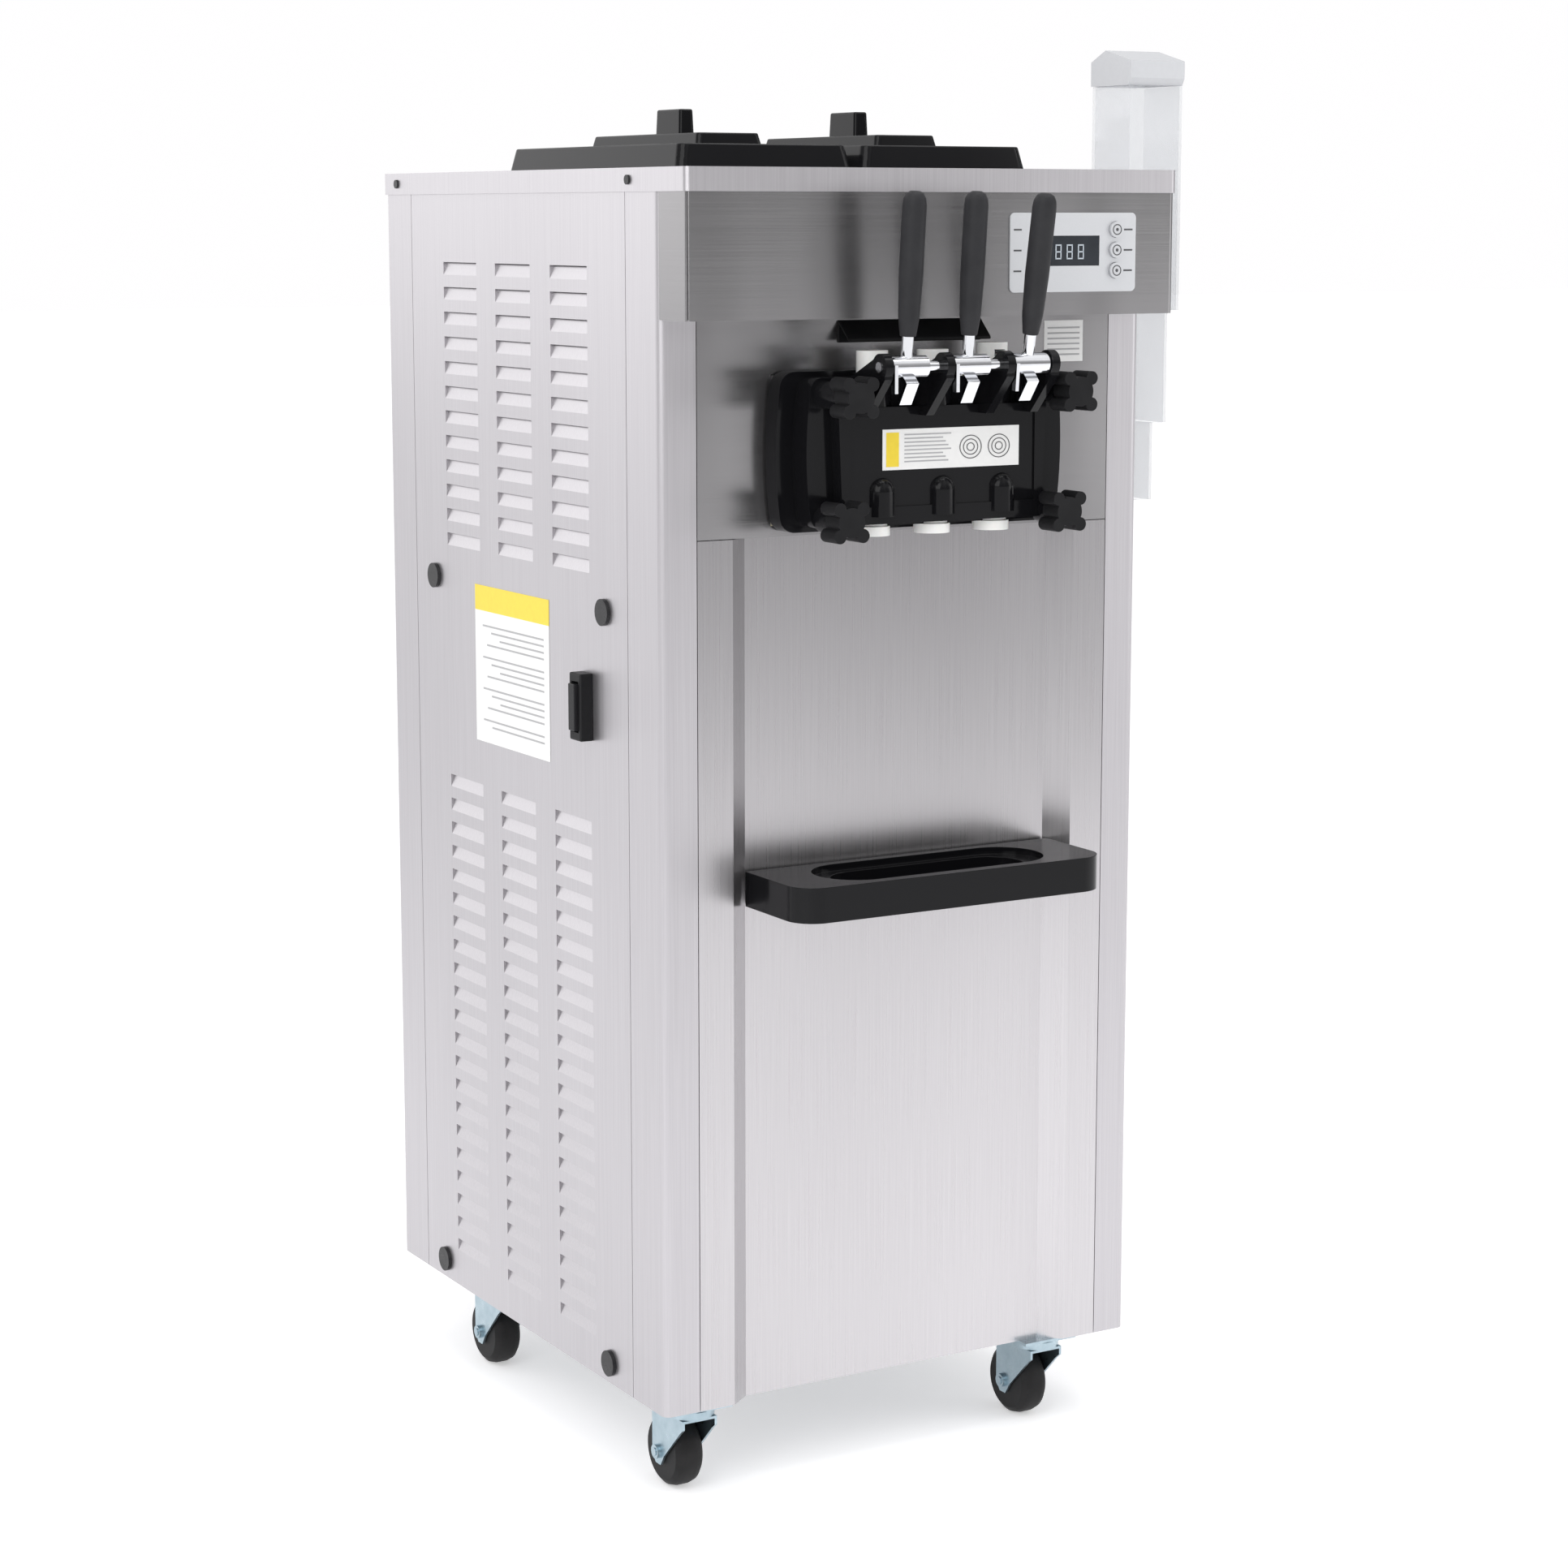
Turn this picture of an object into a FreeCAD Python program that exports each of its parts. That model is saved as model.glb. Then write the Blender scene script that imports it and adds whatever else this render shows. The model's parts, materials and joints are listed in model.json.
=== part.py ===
import FreeCAD, Part

# A floor-standing soft serve machine with two hoppers and three draw levers.
# The cabinet's own frame, used below: x = 0 on the mid-plane, y = 0 on the front face of the
# corner posts, +y to the rear, z = 0 on the floor.  The last step moves the whole machine so that
# its origin is the middle of its footprint on the floor.  Everything is in millimetres.

import math
import os
import re

import Sketcher
from FreeCAD import Placement, Rotation, Vector

doc = FreeCAD.newDocument("soft_serve_machine")

# ---------------------------------------------------------------- driving dimensions
SIZES = {
    # cabinet
    "cabinet_width": 540, "cabinet_depth": 619, "cabinet_height": 1186, "ground_gap": 92,
    "skin": 1.2, "post_skin": 1.5, "seam": 0.8, "post_front": 38, "post_side": 66,
    "corner_round": 8, "fold": 10, "cap_band": 22, "cap_overhang": 2, "hood_height": 116,
    "hood_reach": 54, "hood_round": 5, "middle_height": 204,
    "recess_front": 387, "recess_back": 343, "recess_depth": 17,
    "inner_gap": 12, "plate": 3, "tab_height": 40, "shelf_height": 843,
    # working heights, from the louvres to the cones, are measured up from this far below the top
    "head_datum": 1186,
    # louvres
    "louvre_length": 82, "louvre_height": 17, "louvre_depth": 5, "louvre_pitch": 25.4,
    "louvre_column_pitch": 124, "louvre_upper_top": 1095, "louvre_upper_foot": 785,
    "louvre_lower_top": 560, "louvre_lower_foot": 25,
    # mains cord's gland, and case screws
    "gland_radius": 11, "gland_bore": 6, "gland_length": 12, "gland_collar": 3,
    "gland_collar_depth": 4, "gland_inset": 60, "gland_height": 62,
    "screw_head": 13, "screw_head_height": 4, "screw_shank": 4, "screw_length": 8,
    "screw_inset": 48, "screw_low": 21, "screw_high": 768, "cap_screw": 4.5,
    "cap_screw_front": 56, "cap_screw_rear": 584, "cap_screw_height": 1175,
    # hoppers, feed tubes and lids
    "hopper_width": 165, "hopper_length": 345, "hopper_drop": 155, "hopper_skin": 1.5,
    "hopper_round": 22, "hopper_pitch": 203, "hopper_middle": 281.5, "hopper_rim": 5,
    "outlet_radius": 14, "outlet_bore": 11, "outlet_foot": 984, "outlet_setback": 150,
    "socket_wall": 3, "feed_tube_bore": 8, "feed_tube_length": 170,
    "lid_width": 193, "lid_length": 375, "lid_height": 24, "lid_slope": 5, "lid_skin": 3,
    "plateau_width": 74, "plateau_length": 230, "plateau_height": 12,
    "lid_knob_width": 17, "lid_knob_length": 54, "lid_knob_height": 25,
    # freezing cylinders and their drive
    "cylinder_pitch": 160, "cylinder_height": 925, "cylinder_bore": 52, "cylinder_wall": 4,
    "cylinder_length": 300, "head_width": 304, "head_low": 855, "head_high": 995,
    "head_depth": 20, "head_proud": 2, "foam_width": 336, "foam_high": 1007,
    "beater_shaft": 8, "scraper_gap": 4, "blade_width": 8, "blade_depth": 4,
    "socket_sink": 2, "socket_reach": 16,
    "gearbox_side": 100, "gearbox_length": 70, "motor_radius": 50, "motor_length": 130,
    # dispensing door
    "door_gap": 1, "door_width": 320, "door_bow": 6, "door_low": 849, "door_high": 999,
    "door_round": 16, "flange_depth": 20, "block_width": 284, "block_low": 854,
    "block_high": 994, "block_depth": 25, "frame_top_width": 232, "frame_base_width": 222,
    "frame_low": 857, "frame_high": 966, "frame_depth": 14, "frame_rim": 8, "frame_recess": 2,
    "frame_sill": 16, "lever_pitch": 67, "valve_radius": 15, "valve_top": 1018,
    "valve_foot": 866, "tower_wall": 3.5, "tower_top": 997, "arch_radius": 13.5,
    "arch_low": 864, "arch_high": 887, "arch_front": 71, "port_radius": 7, "port_height": 900,
    "stud_spread": 243, "stud_radius": 5, "stud_low": 863, "stud_high": 978,
    "low_boss": 22, "high_boss": 38, "boss_radius": 13, "knob_depth": 26, "knob_core": 14,
    "knob_lobe": 6.5, "knob_lobe_offset": 17.5,
    "pivot_reach": 101, "pivot_height": 1005, "shaft_radius": 5, "ear_width": 8.5,
    "ear_radius": 12.5, "hub_radius": 10.2, "hub_length": 40, "arm_width": 10,
    "arm_height": 7, "arm_length": 60, "stem_radius": 5.5, "stem_length": 28,
    "grip_length": 132, "grip_radius": 11.3, "grip_foot": 7.5, "lever_lean": 5,
    "right_pull": 5, "nozzle_radius": 17.5, "nozzle_height": 9, "nozzle_bore": 8,
    "slot_width": 160, "slot_low": 1024, "slot_high": 1045, "slot_reach": 20,
    # control panel
    "panel_left": 77, "panel_width": 146, "panel_low": 1070, "panel_height": 75,
    "panel_skin": 1.5, "panel_round": 5, "window_left": 110, "window_width": 70,
    "window_low": 1095, "window_height": 28, "button_radius": 7.5, "button_proud": 3,
    "button_across": 199, "button_top": 1129, "button_pitch": 19.5, "button_length": 11.5,
    "board_setback": 10,
    # power switch
    "switch_middle": 152, "switch_low": 640, "switch_height": 66, "switch_width": 24,
    "switch_proud": 14, "rocker_width": 13, "rocker_height": 46, "rocker_proud": 4,
    "rocker_depth": 10, "pocket_depth": 11,
    # drip tray
    "tray_width": 348, "tray_reach": 94, "tray_back": 12, "tray_top": 524, "tray_height": 34,
    "tray_round": 28, "basin_length": 250, "basin_width": 84, "basin_depth": 28,
    "basin_step": 9, "basin_middle": 40,
    # castors
    "castor_left": 42, "castor_right": 92, "castor_front": 28, "castor_rear": 440,
    "wheel_radius": 36, "wheel_width": 30, "castor_trail": 31, "axle_radius": 4,
    "castor_plate": 3, "castor_plate_side": 62, "fork_skin": 2.5, "cup_radius": 24,
    "cup_height": 7, "kingpin": 5, "crown_gap": 0.5,
    # refrigeration
    "compressor_radius": 82, "compressor_height": 190, "compressor_across": 120,
    "compressor_along": 200, "condenser_depth": 45, "condenser_side": 300,
    "condenser_along": 270, "condenser_rise": 10, "fan_radius": 118, "fan_hub": 30,
    "fan_width": 20, "fan_motor": 34, "fan_shaft": 4,
    # cone dispenser
    "cone_side": 64, "cone_lower_side": 54, "cone_guide_side": 42, "cone_wall": 2,
    "cone_gap": 5, "cone_middle": 61, "cone_top": 1270, "cone_joint": 1048,
    "cone_foot": 935, "cone_guide": 857, "cone_cap_height": 24, "cone_flap": 11,
    # clearances
    "free_gap": 0.3, "running": 0.1,
}

sheet = doc.addObject("Spreadsheet::Sheet", "sizes")
for row, (alias, number) in enumerate(SIZES.items(), start=1):
    sheet.set(f"A{row}", alias)
    sheet.set(f"B{row}", str(number))
    sheet.setAlias(f"B{row}", alias)
doc.recompute()

ALIASES = re.compile(r"\b(" + "|".join(sorted(SIZES, key=len, reverse=True)) + r")\b")
probe = doc.addObject("Part::Vertex", "probe")
sub_parts = []


def formula(text):
    """A sum in the sheet's words, as an expression that names the sheet."""
    return ALIASES.sub(r"sizes.\1", str(text))


def value(text):
    """What such a sum comes to, in millimetres."""
    probe.setExpression("X", formula(text))
    probe.recompute()
    return float(probe.X)


def bind(feature, x=None, y=None, z=None, **sizes):
    """Tie a feature's sizes and its place to the sheet."""
    for name, text in sizes.items():
        feature.setExpression(name, formula(text))
    for name, text in (("x", x), ("y", y), ("z", z)):
        if text is not None:
            feature.setExpression("Placement.Base." + name, formula(text))
    return feature


def block(name, x, y, z, length, width, height):
    box = doc.addObject("Part::Box", name)
    return bind(box, x, y, z, Length=length, Width=width, Height=height)


def span(name, x, y, z):
    """A block given by its two ends along each axis."""
    return block(name, x[0], y[0], z[0], f"({x[1]}) - ({x[0]})",
                 f"({y[1]}) - ({y[0]})", f"({z[1]}) - ({z[0]})")


TURNS = {"X": Rotation(Vector(0, 1, 0), 90), "Y": Rotation(Vector(1, 0, 0), -90),
         "Z": Rotation()}


def rod(name, x, y, z, radius, length, axis="Z"):
    """A round bar that starts at a point and runs along +axis."""
    cylinder = doc.addObject("Part::Cylinder", name)
    cylinder.Placement = Placement(Vector(), TURNS[axis])
    return bind(cylinder, x, y, z, Radius=radius, Height=length)


def join(name, *pieces):
    if len(pieces) == 1:
        return gather(name, *pieces)
    fuse = doc.addObject("Part::MultiFuse", name)
    fuse.Shapes = list(pieces)
    fuse.Refine = True
    return fuse


def gather(name, *pieces):
    """Pieces kept as separate solids under one name."""
    group = doc.addObject("Part::Compound", name)
    group.Links = list(pieces)
    return group


def remove(name, base, *tools):
    cut = doc.addObject("Part::Cut", name)
    cut.Base = base
    cut.Tool = tools[0] if len(tools) == 1 else gather(name + "_tools", *tools)
    cut.Refine = True
    return cut


def rounded(name, base, radius, chosen):
    """Round the edges whose middle passes the test."""
    doc.recompute()
    fillet = doc.addObject("Part::Fillet", name)
    fillet.Base = base
    edges = [(number, radius, radius) for number, edge in enumerate(base.Shape.Edges, start=1)
             if chosen(edge)]
    fillet.Edges = edges
    return fillet


def upright(edge):
    box = edge.BoundBox
    return box.ZLength > 1 and box.XLength < 0.01 and box.YLength < 0.01


def outline(body, name, role, points):
    """A closed straight-sided sketch on one of the body's origin planes."""
    sketch = body.newObject("Sketcher::SketchObject", name)
    plane = [item for item in body.Origin.OriginFeatures if item.Role == role][0]
    sketch.AttachmentSupport = [(plane, "")]
    sketch.MapMode = "FlatFace"
    corners = [Vector(value(across), value(along), 0) for across, along in points]
    for index, corner in enumerate(corners):
        sketch.addGeometry(Part.LineSegment(corner, corners[(index + 1) % len(corners)]), False)
    for index, (across, along) in enumerate(points):
        following = (index + 1) % len(points)
        sketch.addConstraint(Sketcher.Constraint("Coincident", index, 2, following, 1))
        corner = corners[index]
        for kind, text, distance, axis in (("DistanceX", across, corner.x, -2),
                                           ("DistanceY", along, corner.y, -1)):
            if abs(distance) < 1e-9:
                sketch.addConstraint(Sketcher.Constraint("PointOnObject", index, 1, axis))
                continue
            number = sketch.addConstraint(
                Sketcher.Constraint(kind, -1, 1, index, 1, distance))
            sketch.renameConstraint(number, f"{kind}{index}")
            sketch.setExpression(f"Constraints.{kind}{index}", formula(text))
    return sketch


def padded(name, points, depth, role="XY_Plane", **features):
    """A body padded from one outline."""
    body = doc.addObject("PartDesign::Body", name)
    sketch = outline(body, name + "_outline", role, points)
    pad = body.newObject("PartDesign::Pad", name + "_pad")
    pad.Profile = sketch
    bind(pad, Length=depth)
    for feature, setting in features.items():
        setattr(pad, feature, setting)
    return body


def turned(name, points):
    """A body turned about its own z axis, from (radius, height) points."""
    body = doc.addObject("PartDesign::Body", name)
    sketch = outline(body, name + "_profile", "XZ_Plane", points)
    turn = body.newObject("PartDesign::Revolution", name + "_turn")
    turn.Profile = sketch
    turn.ReferenceAxis = (sketch, ["V_Axis"])
    turn.Angle = 360
    return body


def place(feature, x=0, y=0, z=0, rotation=None):
    """Set a body or a coded shape down in the cabinet's frame."""
    feature.Placement = Placement(Vector(value(x), value(y), value(z)), rotation or Rotation())
    return feature


def coded(name, shape):
    feature = doc.addObject("Part::Feature", name)
    feature.Shape = shape
    return feature


def keep(feature, label):
    """Register a finished sub-part; its label names its file."""
    if feature.TypeId in ("Part::Box", "Part::Cylinder", "Part::Wedge"):
        feature = gather(label + "_piece", feature)
    feature.Label = label
    sub_parts.append(feature)
    return feature


# ---------------------------------------------------------------- heights and half widths
HALF = "(cabinet_width / 2)"
TOP = "(ground_gap + cabinet_height)"
DECK = f"({TOP} - skin)"
UNDER_CAP = f"({TOP} - cap_band)"
HOOD_BASE = f"({UNDER_CAP} - hood_height)"
MIDDLE_BASE = f"({HOOD_BASE} - middle_height)"
PANEL_HALF = f"({HALF} - post_front - seam)"
REAR = "cabinet_depth"


def from_base(height):
    """A height above the cabinet's underside, as a height above the floor."""
    return f"(ground_gap + {height})"


def head_level(height):
    """A working height: it hangs from the cabinet's top, and is given above the head's datum."""
    return f"({TOP} - head_datum + {height})"


# ---------------------------------------------------------------- cabinet sheet metal
def corner_post(name, side, rear):
    """One folded L post; side is -1 or 1, rear is True at the back."""
    def across(text):
        return f"{side} * ({HALF} - ({text}))"

    def along(text):
        return f"{REAR} - ({text})" if rear else text
    points = [(across("0"), along("0")), (across("post_front"), along("0")),
              (across("post_front"), along("post_skin")),
              (across("post_skin"), along("post_skin")),
              (across("post_skin"), along("post_side")), (across("0"), along("post_side"))]
    body = padded(name, points, f"{DECK} - ground_gap")
    doc.recompute()
    pad = body.Tip
    corner = Vector(value(across("0")), value(along("0")), 0)
    edges = [f"Edge{number}" for number, edge in enumerate(pad.Shape.Edges, start=1)
             if upright(edge) and math.hypot(edge.CenterOfMass.x - corner.x,
                                             edge.CenterOfMass.y - corner.y) < 0.1]
    fold = body.newObject("PartDesign::Fillet", name + "_fold")
    fold.Base = (pad, edges)
    bind(fold, Radius="corner_round")
    doc.recompute()
    inner = [f"Edge{number}" for number, edge in enumerate(fold.Shape.Edges, start=1)
             if upright(edge) and abs(edge.CenterOfMass.x - value(across("post_skin"))) < 0.01
             and abs(edge.CenterOfMass.y - value(along("post_skin"))) < 0.01]
    inside = body.newObject("PartDesign::Fillet", name + "_inside")
    inside.Base = (fold, inner)
    bind(inside, Radius="corner_round - post_skin")
    return place(body, z="ground_gap")


keep(gather("posts", *[corner_post(f"post_{side_name}_{end_name}", side, rear)
                       for side_name, side in (("left", -1), ("right", 1))
                       for end_name, rear in (("front", False), ("rear", True))]),
     "corner_posts")


def louvre(length, height, depth, sheet_metal):
    """One pressed-in louvre, flush along its lower edge: the metal it adds and the air it opens."""
    def wedge(inset, reach):
        corners = [Vector(0, inset, inset * height / depth), Vector(reach, inset, height),
                   Vector(0, inset, height)]
        face = Part.Face(Part.makePolygon(corners + corners[:1]))
        return face.extrude(Vector(0, length - 2 * inset, 0))
    return wedge(0, depth), wedge(sheet_metal, depth - sheet_metal)


def louvred_sheet(width, bottom, top, columns, rows, holes):
    """A sheet in the y-z plane whose outer face is x = 0 and whose louvres are pressed to +x."""
    metal = value("skin")
    length, height, depth = value("louvre_length"), value("louvre_height"), value("louvre_depth")
    plain = Part.makeBox(metal, width, top - bottom, Vector(0, 0, bottom))
    added, opened = louvre(length, height, depth, metal)
    places = [Vector(0, column - length / 2, row - height) for column in columns for row in rows]
    pressed = [added.translated(spot) for spot in places]
    air = [opened.translated(spot) for spot in places]
    air += [Part.makeCylinder(value("screw_shank + running"), 4 * metal,
                              Vector(-metal, across, high), Vector(1, 0, 0))
            for across, high in holes]
    folds = [Part.makeBox(value("fold"), metal, top - bottom, Vector(0, edge, bottom))
             for edge in (0, width - metal)]
    return plain.fuse(pressed + folds).cut(air).removeSplitter()


def louvre_rows(top, foot):
    """The upper edges of as many rows as fit between two heights, from the top down."""
    pitch = value("louvre_pitch")
    return [value(top) - index * pitch for index in range(int((value(top) - value(foot)) / pitch))]


upper_rows = louvre_rows(head_level("louvre_upper_top"), head_level("louvre_upper_foot"))
lower_rows = louvre_rows(head_level("louvre_lower_top"), from_base("louvre_lower_foot"))
SCREW_LEVELS = (("low", from_base("screw_low")), ("high", head_level("screw_high")))
side_width = value(f"{REAR} - 2 * post_side - 2 * seam")
screw_places = [(across, value(high))
                for across in (value("screw_inset"), side_width - value("screw_inset"))
                for level, high in SCREW_LEVELS]
side_columns = [side_width / 2 + step * value("louvre_column_pitch") for step in (-1, 0, 1)]
side_sheet = louvred_sheet(side_width, value("ground_gap"), value(DECK), side_columns,
                           upper_rows + lower_rows, screw_places)

left_side = coded("left_side", side_sheet)
keep(place(left_side, f"-{HALF}", "post_side + seam"), "side_panel_left")
right_side = coded("right_side", side_sheet.mirror(Vector(), Vector(1, 0, 0)))
keep(place(right_side, HALF, "post_side + seam"), "side_panel_right")

# the rear sheet has louvres over the machine space only, and the gland of the mains cord
rear_width = value(f"2 * {PANEL_HALF}")
rear_columns = [rear_width / 2 + step * value("louvre_column_pitch") for step in (-1, 0, 1)]
rear_sheet = louvred_sheet(rear_width, value("ground_gap"), value(DECK), rear_columns,
                           lower_rows[2:14], [])


def gland_bar(radius, start, length):
    """A round bar on the gland's axis, from a distance inside the sheet's outer face."""
    spot = Vector(-start, rear_width - value("gland_inset"), value(from_base("gland_height")))
    return Part.makeCylinder(value(radius), length, spot, Vector(1, 0, 0))


gland_foot = value("gland_collar_depth")
rear_sheet = rear_sheet.cut(gland_bar("gland_radius", 10, 20))
gland = gland_bar("gland_radius", gland_foot, value("gland_length"))
gland = gland.fuse(gland_bar("gland_radius + gland_collar", gland_foot, gland_foot))
gland = gland.cut(gland_bar("gland_bore", 20, 40))
rear_piece = coded("rear_piece", Part.makeCompound([rear_sheet, gland]))
keep(place(rear_piece, f"-{PANEL_HALF}", REAR, rotation=Rotation(Vector(0, 0, 1), -90)),
     "rear_panel")


# front panel, with a shallow channel that the drip tray hooks into
front_points = [(f"-{PANEL_HALF}", "0"), ("-recess_front / 2", "0"),
                ("-recess_back / 2", "recess_depth"), ("recess_back / 2", "recess_depth"),
                ("recess_front / 2", "0"), (PANEL_HALF, "0"), (PANEL_HALF, "fold"),
                (f"{PANEL_HALF} - skin", "fold"), (f"{PANEL_HALF} - skin", "skin"),
                ("recess_front / 2", "skin"), ("recess_back / 2", "recess_depth + skin"),
                ("-recess_back / 2", "recess_depth + skin"), ("-recess_front / 2", "skin"),
                (f"-{PANEL_HALF} + skin", "skin"), (f"-{PANEL_HALF} + skin", "fold"),
                (f"-{PANEL_HALF}", "fold")]
keep(place(padded("front_sheet", front_points, f"{MIDDLE_BASE} - seam - ground_gap"),
           z="ground_gap"), "front_panel")

middle_points = [(f"-{PANEL_HALF}", "0"), (PANEL_HALF, "0"), (PANEL_HALF, "fold"),
                 (f"{PANEL_HALF} - skin", "fold"), (f"{PANEL_HALF} - skin", "skin"),
                 (f"-{PANEL_HALF} + skin", "skin"), (f"-{PANEL_HALF} + skin", "fold"),
                 (f"-{PANEL_HALF}", "fold")]
middle_sheet = place(padded("middle_sheet", middle_points, f"{DECK} - {MIDDLE_BASE}"),
                     z=MIDDLE_BASE)
head_window = span("head_window", ("-head_width / 2 - seam", "head_width / 2 + seam"),
                   ("-1", "skin + 1"),
                   (head_level("head_low - seam"), head_level("head_high + seam")))
keep(remove("middle_cut", middle_sheet, head_window), "middle_panel")

# hood over the levers, open at the top and the back
hood_shell = rounded("hood_shell", span("hood_block", (f"-{HALF}", HALF), ("-hood_reach", "0"),
                                        (HOOD_BASE, DECK)), value("hood_round"),
                     lambda edge: upright(edge) and edge.CenterOfMass.y < -1)
hood_hollow = span("hood_hollow", (f"-{HALF} + skin", f"{HALF} - skin"),
                   ("-hood_reach + skin", "1"), (f"{HOOD_BASE} + skin", f"{DECK} + 1"))
hood_window = span("hood_window", ("window_left - 5", "button_across + button_radius + 4"),
                   ("-hood_reach - 1", "-hood_reach + skin + 1"),
                   (head_level("panel_low + 10"), head_level("panel_low + panel_height - 7")))
keep(remove("hood_cut", hood_shell, hood_hollow, hood_window), "hood")

# cap: a deck with a band folded down round the whole cabinet and the hood
OUTER = f"({HALF} + cap_overhang)"
cap_block = rounded("cap_corners", span("cap_block", (f"-{OUTER}", OUTER),
                                        ("-hood_reach - cap_overhang", f"{REAR} + cap_overhang"),
                                        (UNDER_CAP, TOP)),
                    value("hood_round + cap_overhang"), upright)
cap_hollow = rounded("cap_hollow", span("cap_inside", (f"-{OUTER} + skin", f"{OUTER} - skin"),
                                        ("-hood_reach - cap_overhang + skin",
                                         f"{REAR} + cap_overhang - skin"),
                                        (f"{UNDER_CAP} - 1", DECK)), value("hood_round"), upright)


def tub(name, side, grow, low, high, base_too=True):
    """A rounded block in the hopper's place, `grow` larger all round."""
    middle = f"{side} * hopper_pitch / 2"
    half, reach = f"(hopper_width / 2 + ({grow}))", f"(hopper_length / 2 + ({grow}))"
    box = span(name + "_block", (f"{middle} - {half}", f"{middle} + {half}"),
               (f"hopper_middle - {reach}", f"hopper_middle + {reach}"), (low, high))
    floor = value(low)
    return rounded(name, box, value(f"hopper_round + ({grow})"), lambda edge: upright(edge) or (
        base_too and abs(edge.CenterOfMass.z - floor) < 0.01 and edge.BoundBox.ZLength < 0.01))


SIDES = (("left", -1), ("right", 1))
openings = [tub(f"{name}_opening", side, "free_gap", f"{DECK} - 1", f"{TOP} + 1", False)
            for name, side in SIDES]
keep(remove("cap_cut", cap_block, cap_hollow, *openings), "top_cap")

# ---------------------------------------------------------------- base frame and castor plates
INNER = f"({HALF} - inner_gap)"


def mirrored(name, across, along, upward):
    """The same block at both sides of the machine."""
    low, high = across
    return [span(name + "_left", (f"-({high})", f"-({low})"), along, upward),
            span(name + "_right", (low, high), along, upward)]


def tray_level(name, low):
    """A full-width plate with tabs that reach the four corner posts."""
    upward = (low, f"{low} + plate")
    tabs = (low, f"{low} + tab_height")
    pieces = [span(name + "_plate", (f"-{INNER}", INNER),
                   ("inner_gap + 8", f"{REAR} - inner_gap"), upward)]
    pieces += mirrored(name + "_front_tab", (f"{HALF} - 30", f"{HALF} - 14"),
                       ("post_skin", "inner_gap + 12"), tabs)
    pieces += mirrored(name + "_rear_tab", (f"{HALF} - 30", f"{HALF} - 14"),
                       (f"{REAR} - inner_gap - 4", f"{REAR} - post_skin"), tabs)
    for end, along in (("front", ("30", "55")), ("rear", (f"{REAR} - 55", f"{REAR} - 30"))):
        pieces += mirrored(f"{name}_{end}_side_tab", (f"{INNER} - 4", f"{HALF} - post_skin"),
                           along, tabs)
    return join(name, *pieces)


SHELF = head_level("shelf_height")
keep(gather("frame_levels", tray_level("pan", "ground_gap"),
            tray_level("shelf", f"({SHELF} - plate)")), "base_frame")

CASTORS = (("front_left", f"(castor_left - {HALF})", "castor_front"),
           ("front_right", f"({HALF} - castor_right)", "castor_front"),
           ("rear_left", f"(castor_left - {HALF})", "castor_rear"),
           ("rear_right", f"({HALF} - castor_right)", "castor_rear"))
CROWN = "(ground_gap - castor_plate - cup_height - crown_gap)"
plates = []
for name, across, along in CASTORS:
    half = "castor_plate_side / 2"
    mount_plate = span(name + "_mount", (f"{across} - {half} + 4", f"{across} + {half} + 4"),
                       (f"{along} - {half} + 8", f"{along} + {half} + 8"),
                       ("ground_gap - castor_plate", "ground_gap"))
    cup = rod(name + "_cup", across, along, "ground_gap - castor_plate - cup_height",
              "cup_radius", "cup_height")
    pin = rod(name + "_kingpin", across, along, f"{CROWN} - fork_skin - 2", "kingpin",
              "fork_skin + crown_gap + cup_height + 2")
    plates.append(join(name + "_plate", mount_plate, cup, pin))
keep(gather("plates", *plates), "castor_plates")

# each fork is drawn about its own swivel axis, on the floor
LEG = "(wheel_width / 2 + 1.5)"
leg_points = [("-20", CROWN), ("castor_trail + 12", CROWN),
              ("castor_trail + 12", "wheel_radius - 4"), ("castor_trail + 5", "wheel_radius - 13"),
              ("castor_trail - 5", "wheel_radius - 13"), ("castor_trail - 12", "wheel_radius - 2"),
              ("-14", f"{CROWN} - 14"), ("-20", f"{CROWN} - 9")]
wheel_points = [("axle_radius + running", "-wheel_width / 2"),
                ("wheel_radius * 0.82", "-wheel_width / 2"),
                ("wheel_radius * 0.95", "-wheel_width / 2 + 4"),
                ("wheel_radius", "-wheel_width / 6"), ("wheel_radius", "wheel_width / 6"),
                ("wheel_radius * 0.95", "wheel_width / 2 - 4"),
                ("wheel_radius * 0.82", "wheel_width / 2"),
                ("axle_radius + running", "wheel_width / 2")]
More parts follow.
